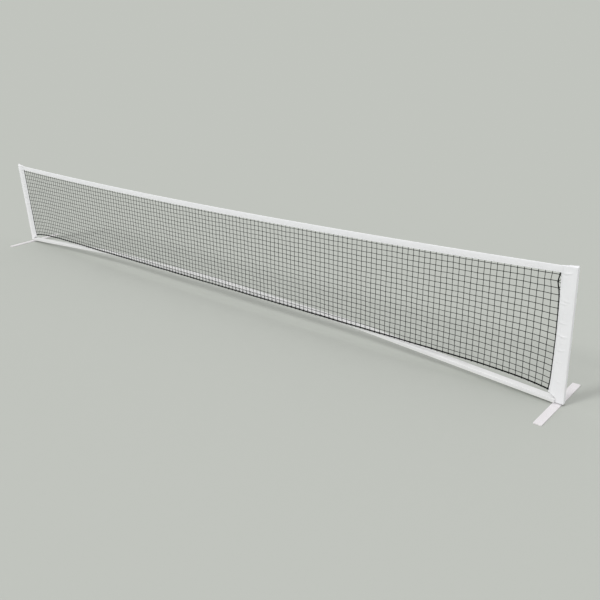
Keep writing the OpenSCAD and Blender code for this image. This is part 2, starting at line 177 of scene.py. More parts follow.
class NetSizes(bpy.types.PropertyGroup):
    columns: bpy.props.IntProperty(
        name="Columns", description="Meshes along the net", default=144, min=20, max=160)
    rows: bpy.props.IntProperty(
        name="Rows", description="Strands along the net", default=18, min=6, max=24)
    twine: bpy.props.FloatProperty(
        name="Twine", description="Thickness of the net's twine",
        default=0.0037, min=0.0015, max=0.004, precision=4, unit="LENGTH")
    knot: bpy.props.FloatProperty(
        name="Knot", description="Width of a knot of the net",
        default=0.0078, min=0.004, max=0.012, precision=4, unit="LENGTH")
    unevenness: bpy.props.FloatProperty(
        name="Unevenness", description="How far a knot strays from its place",
        default=0.0018, min=0.0, max=0.005, precision=4, unit="LENGTH")
    loose_lacing: bpy.props.FloatProperty(
        name="Loose lacing", description="How far the net's edge hangs off the right sleeve",
        default=0.011, min=0.0, max=0.02, precision=3, unit="LENGTH")


class ClothSizes(bpy.types.PropertyGroup):
    thickness: bpy.props.FloatProperty(
        name="Cloth", description="Thickness of the sleeve and headband cloth",
        default=0.0010, min=0.0005, max=0.002, precision=4, unit="LENGTH")
    hem: bpy.props.FloatProperty(
        name="Hem", description="Distance from a cloth edge to its stitching",
        default=0.006, min=0.003, max=0.015, precision=3, unit="LENGTH")
    stitch: bpy.props.FloatProperty(
        name="Stitch", description="Length of one stitch",
        default=0.0036, min=0.002, max=0.008, precision=4, unit="LENGTH")
    stitch_step: bpy.props.FloatProperty(
        name="Stitch step", description="Distance from one stitch to the next",
        default=0.005, min=0.003, max=0.01, precision=4, unit="LENGTH")
    pucker: bpy.props.FloatProperty(
        name="Pucker", description="Height of the sleeve's short sideways puckers",
        default=0.0028, min=0.0, max=0.005, precision=4, unit="LENGTH")
    seam_bow: bpy.props.FloatProperty(
        name="Seam bow", description="How far the right sleeve's seam bows towards its post",
        default=0.006, min=0.0, max=0.01, precision=3, unit="LENGTH")
    corner_pull: bpy.props.FloatProperty(
        name="Corner pull", description="How far the bottom cord pulls a sleeve's lower corner",
        default=0.008, min=0.0, max=0.01, precision=3, unit="LENGTH")
    ear_left: bpy.props.FloatProperty(
        name="Left ear", description="Height of the left sleeve's pointed top corner",
        default=0.010, min=0.0, max=0.012, precision=3, unit="LENGTH")
    ear_right: bpy.props.FloatProperty(
        name="Right ear", description="Height of the right sleeve's pointed top corner",
        default=0.0012, min=0.0, max=0.012, precision=4, unit="LENGTH")


class Finishes(bpy.types.PropertyGroup):
    frame_paint: bpy.props.FloatVectorProperty(
        name="Frame paint", description="Powder coat of the tubes and posts",
        subtype="COLOR", size=4, min=0, max=1, default=linear("F0F0F0"))
    foot_paint: bpy.props.FloatVectorProperty(
        name="Foot paint", description="Powder coat of the feet",
        subtype="COLOR", size=4, min=0, max=1, default=linear("F0ECEF"))
    cloth: bpy.props.FloatVectorProperty(
        name="Cloth", description="Headband and sleeve cloth",
        subtype="COLOR", size=4, min=0, max=1, default=linear("F7F7FA"))
    thread: bpy.props.FloatVectorProperty(
        name="Thread", description="Sewing thread",
        subtype="COLOR", size=4, min=0, max=1, default=linear("E6E7EA"))
    twine: bpy.props.FloatVectorProperty(
        name="Twine", description="Net twine",
        subtype="COLOR", size=4, min=0, max=1, default=linear("141716"))
    cord: bpy.props.FloatVectorProperty(
        name="Cord", description="Bottom and side cords",
        subtype="COLOR", size=4, min=0, max=1, default=linear("080909"))
    floor: bpy.props.FloatVectorProperty(
        name="Floor", description="Floor and background",
        subtype="COLOR", size=4, min=0, max=1, default=linear("BEC1BB"))


class StageSettings(bpy.types.PropertyGroup):
    camera_place: bpy.props.FloatVectorProperty(
        name="Camera", description="Place of the camera",
        subtype="TRANSLATION", unit="LENGTH", precision=4, default=(4.21762, -3.534313, 2.0971))
    camera_turn: bpy.props.FloatVectorProperty(
        name="Camera turn", description="Turn to the left, tilt down and roll of the camera",
        unit="ROTATION", precision=5, default=(0.739387, 0.378953, -0.048298))
    lens: bpy.props.FloatProperty(
        name="Lens", description="Focal length on a 36 mm sensor, in millimetres",
        default=41.208, min=20, max=120)
    sky: bpy.props.FloatProperty(
        name="Sky light", description="Strength of the even light from all round",
        default=0.82, min=0, max=2)
    key: bpy.props.FloatProperty(
        name="Key light", description="Strength of the soft light from the front on the left",
        default=0.95, min=0, max=6)


# ---- Small tools ----

def deselect():
    if bpy.context.object and bpy.context.object.mode != "OBJECT":
        bpy.ops.object.mode_set(mode="OBJECT")
    bpy.ops.object.select_all(action="DESELECT")


def pick(piece):
    """Leaves the piece as the only one selected, and the active one."""
    deselect()
    piece.select_set(True)
    bpy.context.view_layer.objects.active = piece


def new_piece(name):
    """Names the object that an add operator has just made."""
    piece = bpy.context.object
    piece.name = name
    piece.data.name = name
    return piece


def write_points(mesh, points):
    mesh.vertices.foreach_set("co", np.ascontiguousarray(points, float).ravel())
    mesh.update()


def array(piece, count, step):
    """Repeats the piece count times, each step (metres) from the last, as its own mesh."""
    modifier = piece.modifiers.new("Array", "ARRAY")
    modifier.count = count
    modifier.use_relative_offset = False
    modifier.use_constant_offset = True
    modifier.constant_offset_displace = step
    modifier.use_merge_vertices = True
    modifier.merge_threshold = 0.00002
    bpy.ops.object.modifier_apply(modifier=modifier.name)


def join(pieces, name):
    """Makes one piece of several."""
    deselect()
    for piece in pieces:
        piece.select_set(True)
    bpy.context.view_layer.objects.active = pieces[0]
    bpy.ops.object.join()
    return new_piece(name)


def settle(piece):
    """Puts the object at the origin, unturned and unscaled, with its place in its mesh."""
    pick(piece)
    bpy.ops.object.transform_apply(location=True, rotation=True, scale=True)


def shade(piece, angle):
    """Smooths the piece, apart from edges sharper than the angle in degrees."""
    pick(piece)
    bpy.ops.object.shade_smooth_by_angle(angle=math.radians(angle))


def finish_piece(piece, body, material, replaced=()):
    """Settles the piece, gives it its material and its body, and hides the frame nodes it
    replaces.
    """
    settle(piece)
    piece.data.materials.clear()
    piece.data.materials.append(material)
    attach(piece, body)
    if replaced:
        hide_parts(*replaced)
    return piece


def sheet_grid(name, along, across, flat):
    """A flat sheet of along by across points, laid out on XY, with a UV map in metres."""
    deselect()
    bpy.ops.mesh.primitive_grid_add(
        x_subdivisions=along - 1, y_subdivisions=across - 1, size=1, calc_uvs=True)
    piece = new_piece(name)
    layer = piece.data.uv_layers.active.data
    uv = np.empty(len(layer) * 2)
    layer.foreach_get("uv", uv)
    uv = uv.reshape(-1, 2) * np.array(flat)
    layer.foreach_set("uv", uv.ravel())
    return piece


def grid_order(piece, along, across):
    """Column and row of each vertex of a sheet_grid, whatever order the grid came in."""
    points = read_points(piece.data)
    column = np.rint((points[:, 0] + 0.5) * (along - 1)).astype(int)
    row = np.rint((points[:, 1] + 0.5) * (across - 1)).astype(int)
    return column, row


def ripple(position, seed, waves):
    """Smooth unevenness: a few sine waves of the given (length, height) with seeded phases."""
    random = np.random.default_rng(seed)
    total = np.zeros(len(position))
    for length, height in waves:
        direction = random.normal(size=3)
        direction /= np.linalg.norm(direction)
        phase = random.uniform(0, 2 * math.pi)
        total += height * np.sin(position @ direction * 2 * math.pi / length + phase)
    return total


# ---- Materials ----

# Sockets of a Mix node that mixes colours: its factor, its two colours and its result
FACTOR, FIRST, SECOND = 0, 6, 7
MIXED = 2
# A wave texture at scale 1 repeats every 2 pi / 20 metres
WAVE_LENGTH = 0.314


def add_node(tree, kind, inputs=None, **settings):
    """Adds a shader node with its settings, and links or sets its inputs."""
    made = tree.nodes.new(kind)
    for name, value in settings.items():
        setattr(made, name, value)
    for key, value in (inputs or {}).items():
        if isinstance(value, bpy.types.NodeSocket):
            tree.links.new(value, made.inputs[key])
        else:
            made.inputs[key].default_value = value
    return made


def new_material(name, roughness, metallic=0.0, ior=1.5):
    material = bpy.data.materials.new(name)
    material.use_nodes = True
    tree = material.node_tree
    shader = tree.nodes["Principled BSDF"]
    shader.inputs["Roughness"].default_value = roughness
    shader.inputs["Metallic"].default_value = metallic
    shader.inputs["IOR"].default_value = ior
    return material, tree, shader


def darker(colour, share):
    return [c * share for c in colour[:3]] + [1.0]


def powder_coat(name, colour, joints):
    """Polyester powder coat, sprayed on steel and baked: a satin skin with a fine orange peel,
    dust that has settled in patches, green-grey smears near the grass, and for the base tubes
    a fine line of painted shade where two sections meet, for the shadow in their hairline gap."""
    patch, speck, dimple = 0.16, 0.006, 0.0022
    material, tree, shader = new_material(name, 0.36)
    place = add_node(tree, "ShaderNodeTexCoord").outputs["Object"]
    apart = add_node(tree, "ShaderNodeSeparateXYZ", {0: place})
    patches = add_node(tree, "ShaderNodeTexNoise", {
        "Vector": place, "Scale": 1 / patch, "Detail": 4.0, "Roughness": 0.6}).outputs["Fac"]
    specks = add_node(tree, "ShaderNodeTexNoise", {
        "Vector": place, "Scale": 1 / speck, "Detail": 3.0, "Roughness": 0.7}).outputs["Fac"]
    peel = add_node(tree, "ShaderNodeTexNoise", {
        "Vector": place, "Scale": 1 / dimple, "Detail": 1.0}).outputs["Fac"]
    dust = add_node(tree, "ShaderNodeMapRange", {
        "Value": patches, "From Min": 0.42, "From Max": 0.68}).outputs["Result"]
    skin = add_node(tree, "ShaderNodeMix", {
        FACTOR: dust, FIRST: colour, SECOND: darker(colour, 0.955)},
        data_type="RGBA").outputs[MIXED]
    near_ground = add_node(tree, "ShaderNodeMapRange", {
        "Value": apart.outputs["Z"], "From Min": 0.03, "From Max": 0.0,
        "To Max": 0.35}).outputs["Result"]
    dirt = add_node(tree, "ShaderNodeMapRange", {
        "Value": specks, "From Min": 0.5, "From Max": 0.72}).outputs["Result"]
    smears = add_node(tree, "ShaderNodeMath", {
        0: near_ground, 1: dirt}, operation="MULTIPLY").outputs[0]
    skin = add_node(tree, "ShaderNodeMix", {
        FACTOR: smears, FIRST: skin, SECOND: linear("A7AD93")},
        data_type="RGBA").outputs[MIXED]
    # painted shade: a dark line where base sections meet, standing in for the shadow in their
    # hairline gap
    if joints:
        beside = add_node(tree, "ShaderNodeMath", {0: apart.outputs["X"]},
                          operation="ABSOLUTE").outputs[0]
        outer = add_node(tree, "ShaderNodeMath", {0: beside, 1: joint_x}, operation="SUBTRACT")
        outer = add_node(tree, "ShaderNodeMath", {0: outer.outputs[0]},
                         operation="ABSOLUTE").outputs[0]
        nearest = add_node(tree, "ShaderNodeMath", {0: beside, 1: outer},
                           operation="MINIMUM").outputs[0]
        painted_gap_shade = add_node(tree, "ShaderNodeMapRange", {
            "Value": nearest, "From Min": 0.0004, "From Max": 0.0009,
            "To Min": 1.0, "To Max": 0.0}).outputs["Result"]
        skin = add_node(tree, "ShaderNodeMix", {
            FACTOR: painted_gap_shade, FIRST: skin, SECOND: linear("55585A")},
            data_type="RGBA").outputs[MIXED]
    tree.links.new(skin, shader.inputs["Base Color"])
    gloss = add_node(tree, "ShaderNodeMapRange", {
        "Value": patches, "From Min": 0.35, "From Max": 0.7,
        "To Min": 0.31, "To Max": 0.43}).outputs["Result"]
    tree.links.new(gloss, shader.inputs["Roughness"])
    bump = add_node(tree, "ShaderNodeBump", {
        "Height": peel, "Strength": 0.25, "Distance": 0.00015})
    tree.links.new(bump.outputs["Normal"], shader.inputs["Normal"])
    return material


def zinc_plate(name, colour, scratch):
    """Bright zinc on steel, barrel plated: a soft grey metal, rubbed in fine scratches."""
    line, bloom_size = 0.0009, 0.007
    material, tree, shader = new_material(name, 0.34, metallic=1.0)
    place = add_node(tree, "ShaderNodeTexCoord").outputs["Object"]
    stretched = add_node(tree, "ShaderNodeMapping", {"Vector": place, "Scale": scratch}).outputs[0]
    lines = add_node(tree, "ShaderNodeTexNoise", {
        "Vector": stretched, "Scale": 1 / line, "Detail": 3.0}).outputs["Fac"]
    bloom = add_node(tree, "ShaderNodeTexNoise", {
        "Vector": place, "Scale": 1 / bloom_size, "Detail": 2.0}).outputs["Fac"]
    dull = add_node(tree, "ShaderNodeMapRange", {
        "Value": bloom, "From Min": 0.4, "From Max": 0.65}).outputs["Result"]
    skin = add_node(tree, "ShaderNodeMix", {
        FACTOR: dull, FIRST: colour, SECOND: darker(colour, 0.86)},
        data_type="RGBA").outputs[MIXED]
    tree.links.new(skin, shader.inputs["Base Color"])
    gloss = add_node(tree, "ShaderNodeMapRange", {
        "Value": lines, "From Min": 0.3, "From Max": 0.7,
        "To Min": 0.26, "To Max": 0.44}).outputs["Result"]
    tree.links.new(gloss, shader.inputs["Roughness"])
    bump = add_node(tree, "ShaderNodeBump", {
        "Height": lines, "Strength": 0.2, "Distance": 0.00008})
    tree.links.new(bump.outputs["Normal"], shader.inputs["Normal"])
    return material


def moulded_plastic(name, colour, roughness):
    """Injection-moulded polypropylene or nylon: an even colour with a spark-eroded grain."""
    grain_size = 0.0008
    material, tree, shader = new_material(name, roughness, ior=1.49)
    place = add_node(tree, "ShaderNodeTexCoord").outputs["Object"]
    grain = add_node(tree, "ShaderNodeTexNoise", {
        "Vector": place, "Scale": 1 / grain_size, "Detail": 2.0}).outputs["Fac"]
    mottle = add_node(tree, "ShaderNodeMapRange", {
        "Value": grain, "From Min": 0.35, "From Max": 0.65}).outputs["Result"]
    skin = add_node(tree, "ShaderNodeMix", {
        FACTOR: mottle, FIRST: colour, SECOND: darker(colour, 0.8)},
        data_type="RGBA").outputs[MIXED]
    tree.links.new(skin, shader.inputs["Base Color"])
    bump = add_node(tree, "ShaderNodeBump", {
        "Height": grain, "Strength": 0.3, "Distance": 0.0001})
    tree.links.new(bump.outputs["Normal"], shader.inputs["Normal"])
    return material


def woven_cloth(name, colour, glow):
    """Coated woven polyester, as on tarpaulins and headbands: matt white, plain weave under a
    thin coat, and so thin that light from behind shows through. The usual thread spacing
    of about 0.5 mm is drawn at 1.6 mm, as coarse as it needs to show."""
    spacing, stain = 0.0016, 0.12
    material, tree, shader = new_material(name, 0.62)
    uv = add_node(tree, "ShaderNodeUVMap").outputs["UV"]
    place = add_node(tree, "ShaderNodeTexCoord").outputs["Object"]
    apart = add_node(tree, "ShaderNodeSeparateXYZ", {0: uv})
    waves = []
    for axis in ("X", "Y"):
        turns = add_node(tree, "ShaderNodeMath", {
            0: apart.outputs[axis], 1: 2 * math.pi / spacing}, operation="MULTIPLY").outputs[0]
        waves.append(add_node(tree, "ShaderNodeMath", {0: turns}, operation="SINE").outputs[0])
    weave = add_node(tree, "ShaderNodeMath", {0: waves[0], 1: waves[1]},
                     operation="MULTIPLY").outputs[0]
    soil = add_node(tree, "ShaderNodeTexNoise", {
        "Vector": place, "Scale": 1 / stain, "Detail": 5.0, "Roughness": 0.62}).outputs["Fac"]
    soiled = add_node(tree, "ShaderNodeMapRange", {
        "Value": soil, "From Min": 0.45, "From Max": 0.72}).outputs["Result"]
    skin = add_node(tree, "ShaderNodeMix", {
        FACTOR: soiled, FIRST: colour, SECOND: darker(colour, 0.965)},
        data_type="RGBA").outputs[MIXED]
    woven = add_node(tree, "ShaderNodeMapRange", {
        "Value": weave, "From Min": -1.0, "From Max": 1.0, "To Max": 0.35}).outputs["Result"]
    skin = add_node(tree, "ShaderNodeMix", {
        FACTOR: woven, FIRST: skin, SECOND: darker(colour, 0.95)},
        data_type="RGBA").outputs[MIXED]
    tree.links.new(skin, shader.inputs["Base Color"])
    shader.inputs["Subsurface Weight"].default_value = glow
    shader.inputs["Subsurface Radius"].default_value = (1.0, 1.0, 1.0)
    shader.inputs["Subsurface Scale"].default_value = 0.0015
    shader.inputs["Sheen Weight"].default_value = 0.15
    shader.inputs["Sheen Roughness"].default_value = 0.5
    bump = add_node(tree, "ShaderNodeBump", {
        "Height": weave, "Strength": 0.35, "Distance": 0.00012})
    tree.links.new(bump.outputs["Normal"], shader.inputs["Normal"])
    return material


def webbing_tape(name, colour):
    """Woven polyester webbing: matt, with ribs straight across the tape every 1.5 mm."""
    rib, hair = 0.0015, 0.0012
    material, tree, shader = new_material(name, 0.7)
    place = add_node(tree, "ShaderNodeTexCoord").outputs["Object"]
    ribs = add_node(tree, "ShaderNodeTexWave", {
        "Vector": place, "Scale": WAVE_LENGTH / rib, "Distortion": 0.3},
        bands_direction="X").outputs["Fac"]
    fuzz = add_node(tree, "ShaderNodeTexNoise", {
        "Vector": place, "Scale": 1 / hair, "Detail": 2.0}).outputs["Fac"]
    # painted shade: the colour is darker in the grooves between the ribs and full on the ribs
    skin = add_node(tree, "ShaderNodeMix", {
        FACTOR: ribs, FIRST: darker(colour, 0.82), SECOND: colour},
        data_type="RGBA").outputs[MIXED]
    fuzzy = add_node(tree, "ShaderNodeMapRange", {
        "Value": fuzz, "From Min": 0.4, "From Max": 0.7, "To Max": 0.3}).outputs["Result"]
    skin = add_node(tree, "ShaderNodeMix", {
        FACTOR: fuzzy, FIRST: skin, SECOND: darker(colour, 0.7)},
        data_type="RGBA").outputs[MIXED]
    tree.links.new(skin, shader.inputs["Base Color"])
    bump = add_node(tree, "ShaderNodeBump", {
        "Height": ribs, "Strength": 0.5, "Distance": 0.0002})
    tree.links.new(bump.outputs["Normal"], shader.inputs["Normal"])
    return material


def spun_thread(name, colour):
    """Bonded polyester sewing thread: fine, round and slightly glossy."""
    ply = 0.0012
    material, tree, shader = new_material(name, 0.5, ior=1.54)
    place = add_node(tree, "ShaderNodeTexCoord").outputs["Object"]
    plies = add_node(tree, "ShaderNodeTexWave", {
        "Vector": place, "Scale": WAVE_LENGTH / ply, "Distortion": 0.5},
        bands_direction="DIAGONAL").outputs["Fac"]
    # painted shade: the colour is darker in the grooves between the plies
    skin = add_node(tree, "ShaderNodeMix", {
        FACTOR: plies, FIRST: darker(colour, 0.86), SECOND: colour},
        data_type="RGBA").outputs[MIXED]
    tree.links.new(skin, shader.inputs["Base Color"])
    bump = add_node(tree, "ShaderNodeBump", {
        "Height": plies, "Strength": 0.3, "Distance": 0.0001})
    tree.links.new(bump.outputs["Normal"], shader.inputs["Normal"])
    return material


def twisted_twine(name, colour, turns, strands, along):
    """Black polyethylene, laid up in strands: waxy, with a painted dull highlight on each ply and
    painted shade in the grooves between plies. The UV runs along the strand on the axis numbered
    along, and round it on the other."""
    fade_size = 0.05
    material, tree, shader = new_material(name, 0.62)
    shader.inputs["Specular IOR Level"].default_value = 0.35
    uv = add_node(tree, "ShaderNodeUVMap").outputs["UV"]
    place = add_node(tree, "ShaderNodeTexCoord").outputs["Object"]
    apart = add_node(tree, "ShaderNodeSeparateXYZ", {0: uv})
    round_it = add_node(tree, "ShaderNodeMath", {
        0: apart.outputs[1 - along], 1: 2 * math.pi * strands}, operation="MULTIPLY").outputs[0]
    along_it = add_node(tree, "ShaderNodeMath", {
        0: apart.outputs[along], 1: 2 * math.pi * turns}, operation="MULTIPLY").outputs[0]
    both = add_node(tree, "ShaderNodeMath", {0: round_it, 1: along_it}, operation="ADD").outputs[0]
    lay = add_node(tree, "ShaderNodeMath", {0: both}, operation="SINE").outputs[0]
    fade = add_node(tree, "ShaderNodeTexNoise", {
        "Vector": place, "Scale": 1 / fade_size, "Detail": 3.0}).outputs["Fac"]
    # painted highlight and shade: the colour is lighter on top of each ply and darker in the
    # grooves
    raised = add_node(tree, "ShaderNodeMapRange", {
        "Value": lay, "From Min": -1.0, "From Max": 1.0}).outputs["Result"]
    skin = add_node(tree, "ShaderNodeMix", {
        FACTOR: raised, FIRST: darker(colour, 0.6), SECOND: colour},
        data_type="RGBA").outputs[MIXED]
    faded = add_node(tree, "ShaderNodeMapRange", {
        "Value": fade, "From Min": 0.45, "From Max": 0.75, "To Max": 0.5}).outputs["Result"]
    skin = add_node(tree, "ShaderNodeMix", {
        FACTOR: faded, FIRST: skin, SECOND: linear("2A2F2D")},
        data_type="RGBA").outputs[MIXED]
    tree.links.new(skin, shader.inputs["Base Color"])
    bump = add_node(tree, "ShaderNodeBump", {
        "Height": lay, "Strength": 0.6, "Distance": 0.0003})
    tree.links.new(bump.outputs["Normal"], shader.inputs["Normal"])
    return material


def braided_cord(name, colour):
    """Braided polyethylene cord: two sets of plies cross in diamonds about 4 mm long. Its UV
    is in metres, along the cord and round it."""
    ply_along, ply_round = 0.008, 0.00628
    material, tree, shader = new_material(name, 0.8)
    shader.inputs["Specular IOR Level"].default_value = 0.2
    uv = add_node(tree, "ShaderNodeUVMap").outputs["UV"]
    apart = add_node(tree, "ShaderNodeSeparateXYZ", {0: uv})
    waves = []
    for sign in (1, -1):
        along_it = add_node(tree, "ShaderNodeMath", {
            0: apart.outputs["X"], 1: 2 * math.pi / ply_along}, operation="MULTIPLY").outputs[0]
        round_it = add_node(tree, "ShaderNodeMath", {
            0: apart.outputs["Y"], 1: sign * 2 * math.pi / ply_round},
            operation="MULTIPLY").outputs[0]
        both = add_node(tree, "ShaderNodeMath", {0: along_it, 1: round_it},
                        operation="ADD").outputs[0]
        waves.append(add_node(tree, "ShaderNodeMath", {0: both}, operation="SINE").outputs[0])
    braid = add_node(tree, "ShaderNodeMath", {0: waves[0], 1: waves[1]},
                     operation="MULTIPLY").outputs[0]
    # painted shade: the colour is darker in the grooves between the plies and full on the raised
    # plies
    raised = add_node(tree, "ShaderNodeMapRange", {
        "Value": braid, "From Min": -1.0, "From Max": 1.0}).outputs["Result"]
    skin = add_node(tree, "ShaderNodeMix", {
        FACTOR: raised, FIRST: darker(colour, 0.5), SECOND: colour},
        data_type="RGBA").outputs[MIXED]
    tree.links.new(skin, shader.inputs["Base Color"])
    bump = add_node(tree, "ShaderNodeBump", {
        "Height": braid, "Strength": 0.7, "Distance": 0.0004})
    tree.links.new(bump.outputs["Normal"], shader.inputs["Normal"])
    return material


def studio_floor(name, colour):
    """Matt painted board: one even pale tone that takes the shadow."""
    grain_size = 0.01
    material, tree, shader = new_material(name, 1.0)
    shader.inputs["Specular IOR Level"].default_value = 0.0
    place = add_node(tree, "ShaderNodeTexCoord").outputs["Object"]
    grain = add_node(tree, "ShaderNodeTexNoise", {
        "Vector": place, "Scale": 1 / grain_size, "Detail": 1.0}).outputs["Fac"]
    mottle = add_node(tree, "ShaderNodeMapRange", {
        "Value": grain, "From Min": 0.3, "From Max": 0.7}).outputs["Result"]
    skin = add_node(tree, "ShaderNodeMix", {
        FACTOR: mottle, FIRST: colour, SECOND: darker(colour, 0.997)},
        data_type="RGBA").outputs[MIXED]
    tree.links.new(skin, shader.inputs["Base Color"])
    return material


# ---- Frame finishes ----

class NET_OT_finish_frame(bpy.types.Operator):
    """Paint, plate and colour the carried-over frame pieces"""
    bl_idname = "tennis_net.finish_frame"
    bl_label = "Finish the frame"

    def execute(self, context):
        tones = context.scene.net_finishes
        paint = powder_coat("Powder coat, tubes", tones.frame_paint, True)
        post_paint = powder_coat("Powder coat, posts", tones.frame_paint, False)
        foot_paint = powder_coat("Powder coat, feet", tones.foot_paint, False)
        zinc = zinc_plate("Zinc plate", linear("C9CCD0"), (1, 1, 0.2))
        steel = zinc_plate("Spring steel", linear("8F9296"), (0.1, 1, 1))
        black = moulded_plastic("Moulded black plastic", linear("1C1D1E"), 0.5)
        nylon = moulded_plastic("Natural nylon", linear("E9E6DC"), 0.42)
        webbing = webbing_tape("Polyester webbing", linear("E4E4E2"))
        by_name = (
            ("base_", paint), ("foot_boss", paint), ("post_cap", black), ("post_", post_paint),
            ("foot_screw", zinc), ("foot_washer", nylon), ("foot_", foot_paint),
            ("joiner", zinc), ("snap_button", zinc), ("snap_spring", steel),
            ("spigot", zinc), ("socket_plug", black), ("head_tape", webbing),
        )
        for node in CAD_NODES:
            for start, material in by_name:
                if node.startswith(start):
                    slots = frame["nodes"][node].data.materials
                    slots.clear()
                    slots.append(material)
                    break
        return {"FINISHED"}


class NET_OT_make_welds(bpy.types.Operator):
    """Lay the weld bead where each outer base tube meets its end plate"""
    bl_idname = "tennis_net.make_welds"
    bl_label = "Weld beads"

    def execute(self, context):
        tones = context.scene.net_finishes
        material = powder_coat("Powder coat over weld", tones.frame_paint, False)
        stand_off = 0.0002
        corner = 0.0026
        bead_radius, bead_wave = 0.0012, 0.0042
        half_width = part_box("base_inner_right")[1].y + stand_off
        half_height = tube_half_height / math.cos(end_slope) + stand_off
        plate_face = post_low.x - plate_thickness
        middle = base_top(plate_face) - half_height + stand_off
        # one turn round the tube's rounded outline, from under it and back
        outline = []
        for turn in np.linspace(-math.pi / 2, 1.5 * math.pi, 241):
            y, z = math.cos(turn), math.sin(turn)
            reach = min(half_width / max(abs(y), 1e-6), half_height / max(abs(z), 1e-6))
            y, z = y * reach, z * reach
            over = Vector((max(abs(y) - half_width + corner, 0),
                           max(abs(z) - half_height + corner, 0)))
            if over.length > corner:
                over *= corner / over.length
                y = math.copysign(half_width - corner + over.x, y)
                z = math.copysign(half_height - corner + over.y, z)
            outline.append((y, z))
        lengths = np.linalg.norm(np.diff(outline, axis=0), axis=1)
        along = np.concatenate([[0], np.cumsum(lengths)])
        even = np.linspace(0, along[-1], 360)
        y = np.interp(even, along, [p[0] for p in outline])
        z = np.interp(even, along, [p[1] for p in outline])
        bead = bead_radius * (1 + 0.20 * np.sin(even * 2 * math.pi / bead_wave))
        for side, name in ((-1, "weld_left"), (1, "weld_right")):
            path = np.stack([side * (plate_face + 0 * y), y, middle + z], axis=1)
            piece = rolled_cord(name, path, bead, 8, up=(1, 0, 0))
            shade(piece, 60)
            finish_piece(piece, "base", material)
        return {"FINISHED"}


# ---- Net ----

def hang(piece, cells, sizes):
    """Moves a flat net piece on to the curve between the headband and the bottom cord."""
    points = read_points(piece.data)
    x, y, z = points.T.copy()
    side = np.sign(x)
    inward = np.maximum(mesh_reach - np.abs(x), 0)
    margin = 0.0002
    past_edge = np.abs(x) > mesh_reach + margin
    share = np.clip(z / (ROW_PITCH * cells), 0, None)
    low, high = cord_z(x), band_bottom(x)
    height = low + share * (high - low)
    bow = cord_y(x) * np.clip((high - height) / (high - low), 0, 1)
    # knots stray less where the net is tied, at its top, bottom and ends
    free = np.clip(share * 6, 0, 1) * np.clip((1.02 - share) * 12, 0, 1)
    free = np.where(past_edge, 0.15 * free, free)
    flat = np.stack([x, height * 0, height], axis=1)
    waves = ((0.21, 0.4), (0.13, 0.35), (0.087, 0.3), (0.061, 0.25))
    follow = edge_share(inward) * seam_shift(side, height)
    loose_reach, drawn_out, drawn_reach = 0.06, 0.0016, 0.02
    loose = np.exp(-(inward / loose_reach) ** 2) * slack(side, height)
    beside_cord = drawn_out * np.exp(-(inward / drawn_reach) ** 2) * (1 - past_edge)
    x += (side * beside_cord + sizes.unevenness * free * ripple(flat, 3, waves)
          + side * (follow - loose))
    height += sizes.unevenness * 0.8 * free * ripple(flat, 5, waves)
    bow += sizes.unevenness * 0.9 * free * ripple(flat, 8, ((0.33, 0.6), (0.19, 0.4)))
    write_points(piece.data, np.stack([x, y + bow, height], axis=1))


class NET_OT_make_mesh(bpy.types.Operator):
    """Tie the square-mesh net: strands down and along, and a knot on each crossing"""
    bl_idname = "tennis_net.make_mesh"
    bl_label = "Net mesh"

    def execute(self, context):
        sizes = context.scene.net_sizes
        tones = context.scene.net_finishes
        twine = twisted_twine("Laid polyethylene twine", tones.twine, 9, 2, 1)
        columns, rows = sizes.columns, sizes.rows
        cells = rows + SPARE_ROW
        pitch_x = 2 * mesh_reach / columns
        first_row = LOWEST_ROW * ROW_PITCH
        # one link down, repeated into a strand, and the strand repeated along the net
        deselect()
        bpy.ops.mesh.primitive_cylinder_add(
            vertices=6, radius=sizes.twine / 2, depth=ROW_PITCH, end_fill_type="NOTHING",
            location=(-mesh_reach, 0, first_row - ROW_PITCH / 2))
        down = new_piece("net_strands_down")
        settle(down)
        array(down, rows + 1, (0, 0, ROW_PITCH))
        array(down, columns + 1, (pitch_x, 0, 0))
        # one link along, on the lowest row
        deselect()
        bpy.ops.mesh.primitive_cylinder_add(
            vertices=6, radius=sizes.twine / 2, depth=pitch_x, end_fill_type="NOTHING",
            location=(-mesh_reach + pitch_x / 2, 0, first_row),
            rotation=(0, math.radians(90), 0))
        along = new_piece("net_strands_along")
        settle(along)
        array(along, columns, (pitch_x, 0, 0))
        array(along, rows, (0, 0, ROW_PITCH))
        points = read_points(along.data)
        ends = np.abs(points[:, 0]) > mesh_reach - 0.0001
        points[ends, 0] = np.sign(points[ends, 0]) * side_x
        write_points(along.data, points)
        for piece in (down, along):
            hang(piece, cells, sizes)
        strands = join([down, along], "net_twine")
        # the knot is one tight turn laid slantwise over the crossing
        lean = 38
        turn = sizes.twine * 0.52
        deselect()
        bpy.ops.mesh.primitive_torus_add(
            major_segments=8, minor_segments=4, major_radius=sizes.knot / 2 - turn,
            minor_radius=turn, location=(-mesh_reach, 0, first_row),
            rotation=(math.radians(90), math.radians(lean), 0))
        knots = new_piece("net_knots")
        bpy.ops.object.mode_set(mode="EDIT")
        bpy.ops.mesh.select_all(action="SELECT")
        bpy.ops.transform.rotate(
            value=math.radians(90 - lean), orient_axis="Y", orient_type="GLOBAL",
            center_override=(-mesh_reach, 0, first_row))
        bpy.ops.object.mode_set(mode="OBJECT")
        settle(knots)
        array(knots, columns + 1, (pitch_x, 0, 0))
        array(knots, rows, (0, 0, ROW_PITCH))
        hang(knots, cells, sizes)
        knot_twine = twisted_twine("Laid polyethylene twine, knots", tones.twine, 4, 1, 0)
        for piece, material in ((strands, twine), (knots, knot_twine)):
            shade(piece, 180)
            finish_piece(piece, "net", material, ("net_mesh",))
        return {"FINISHED"}


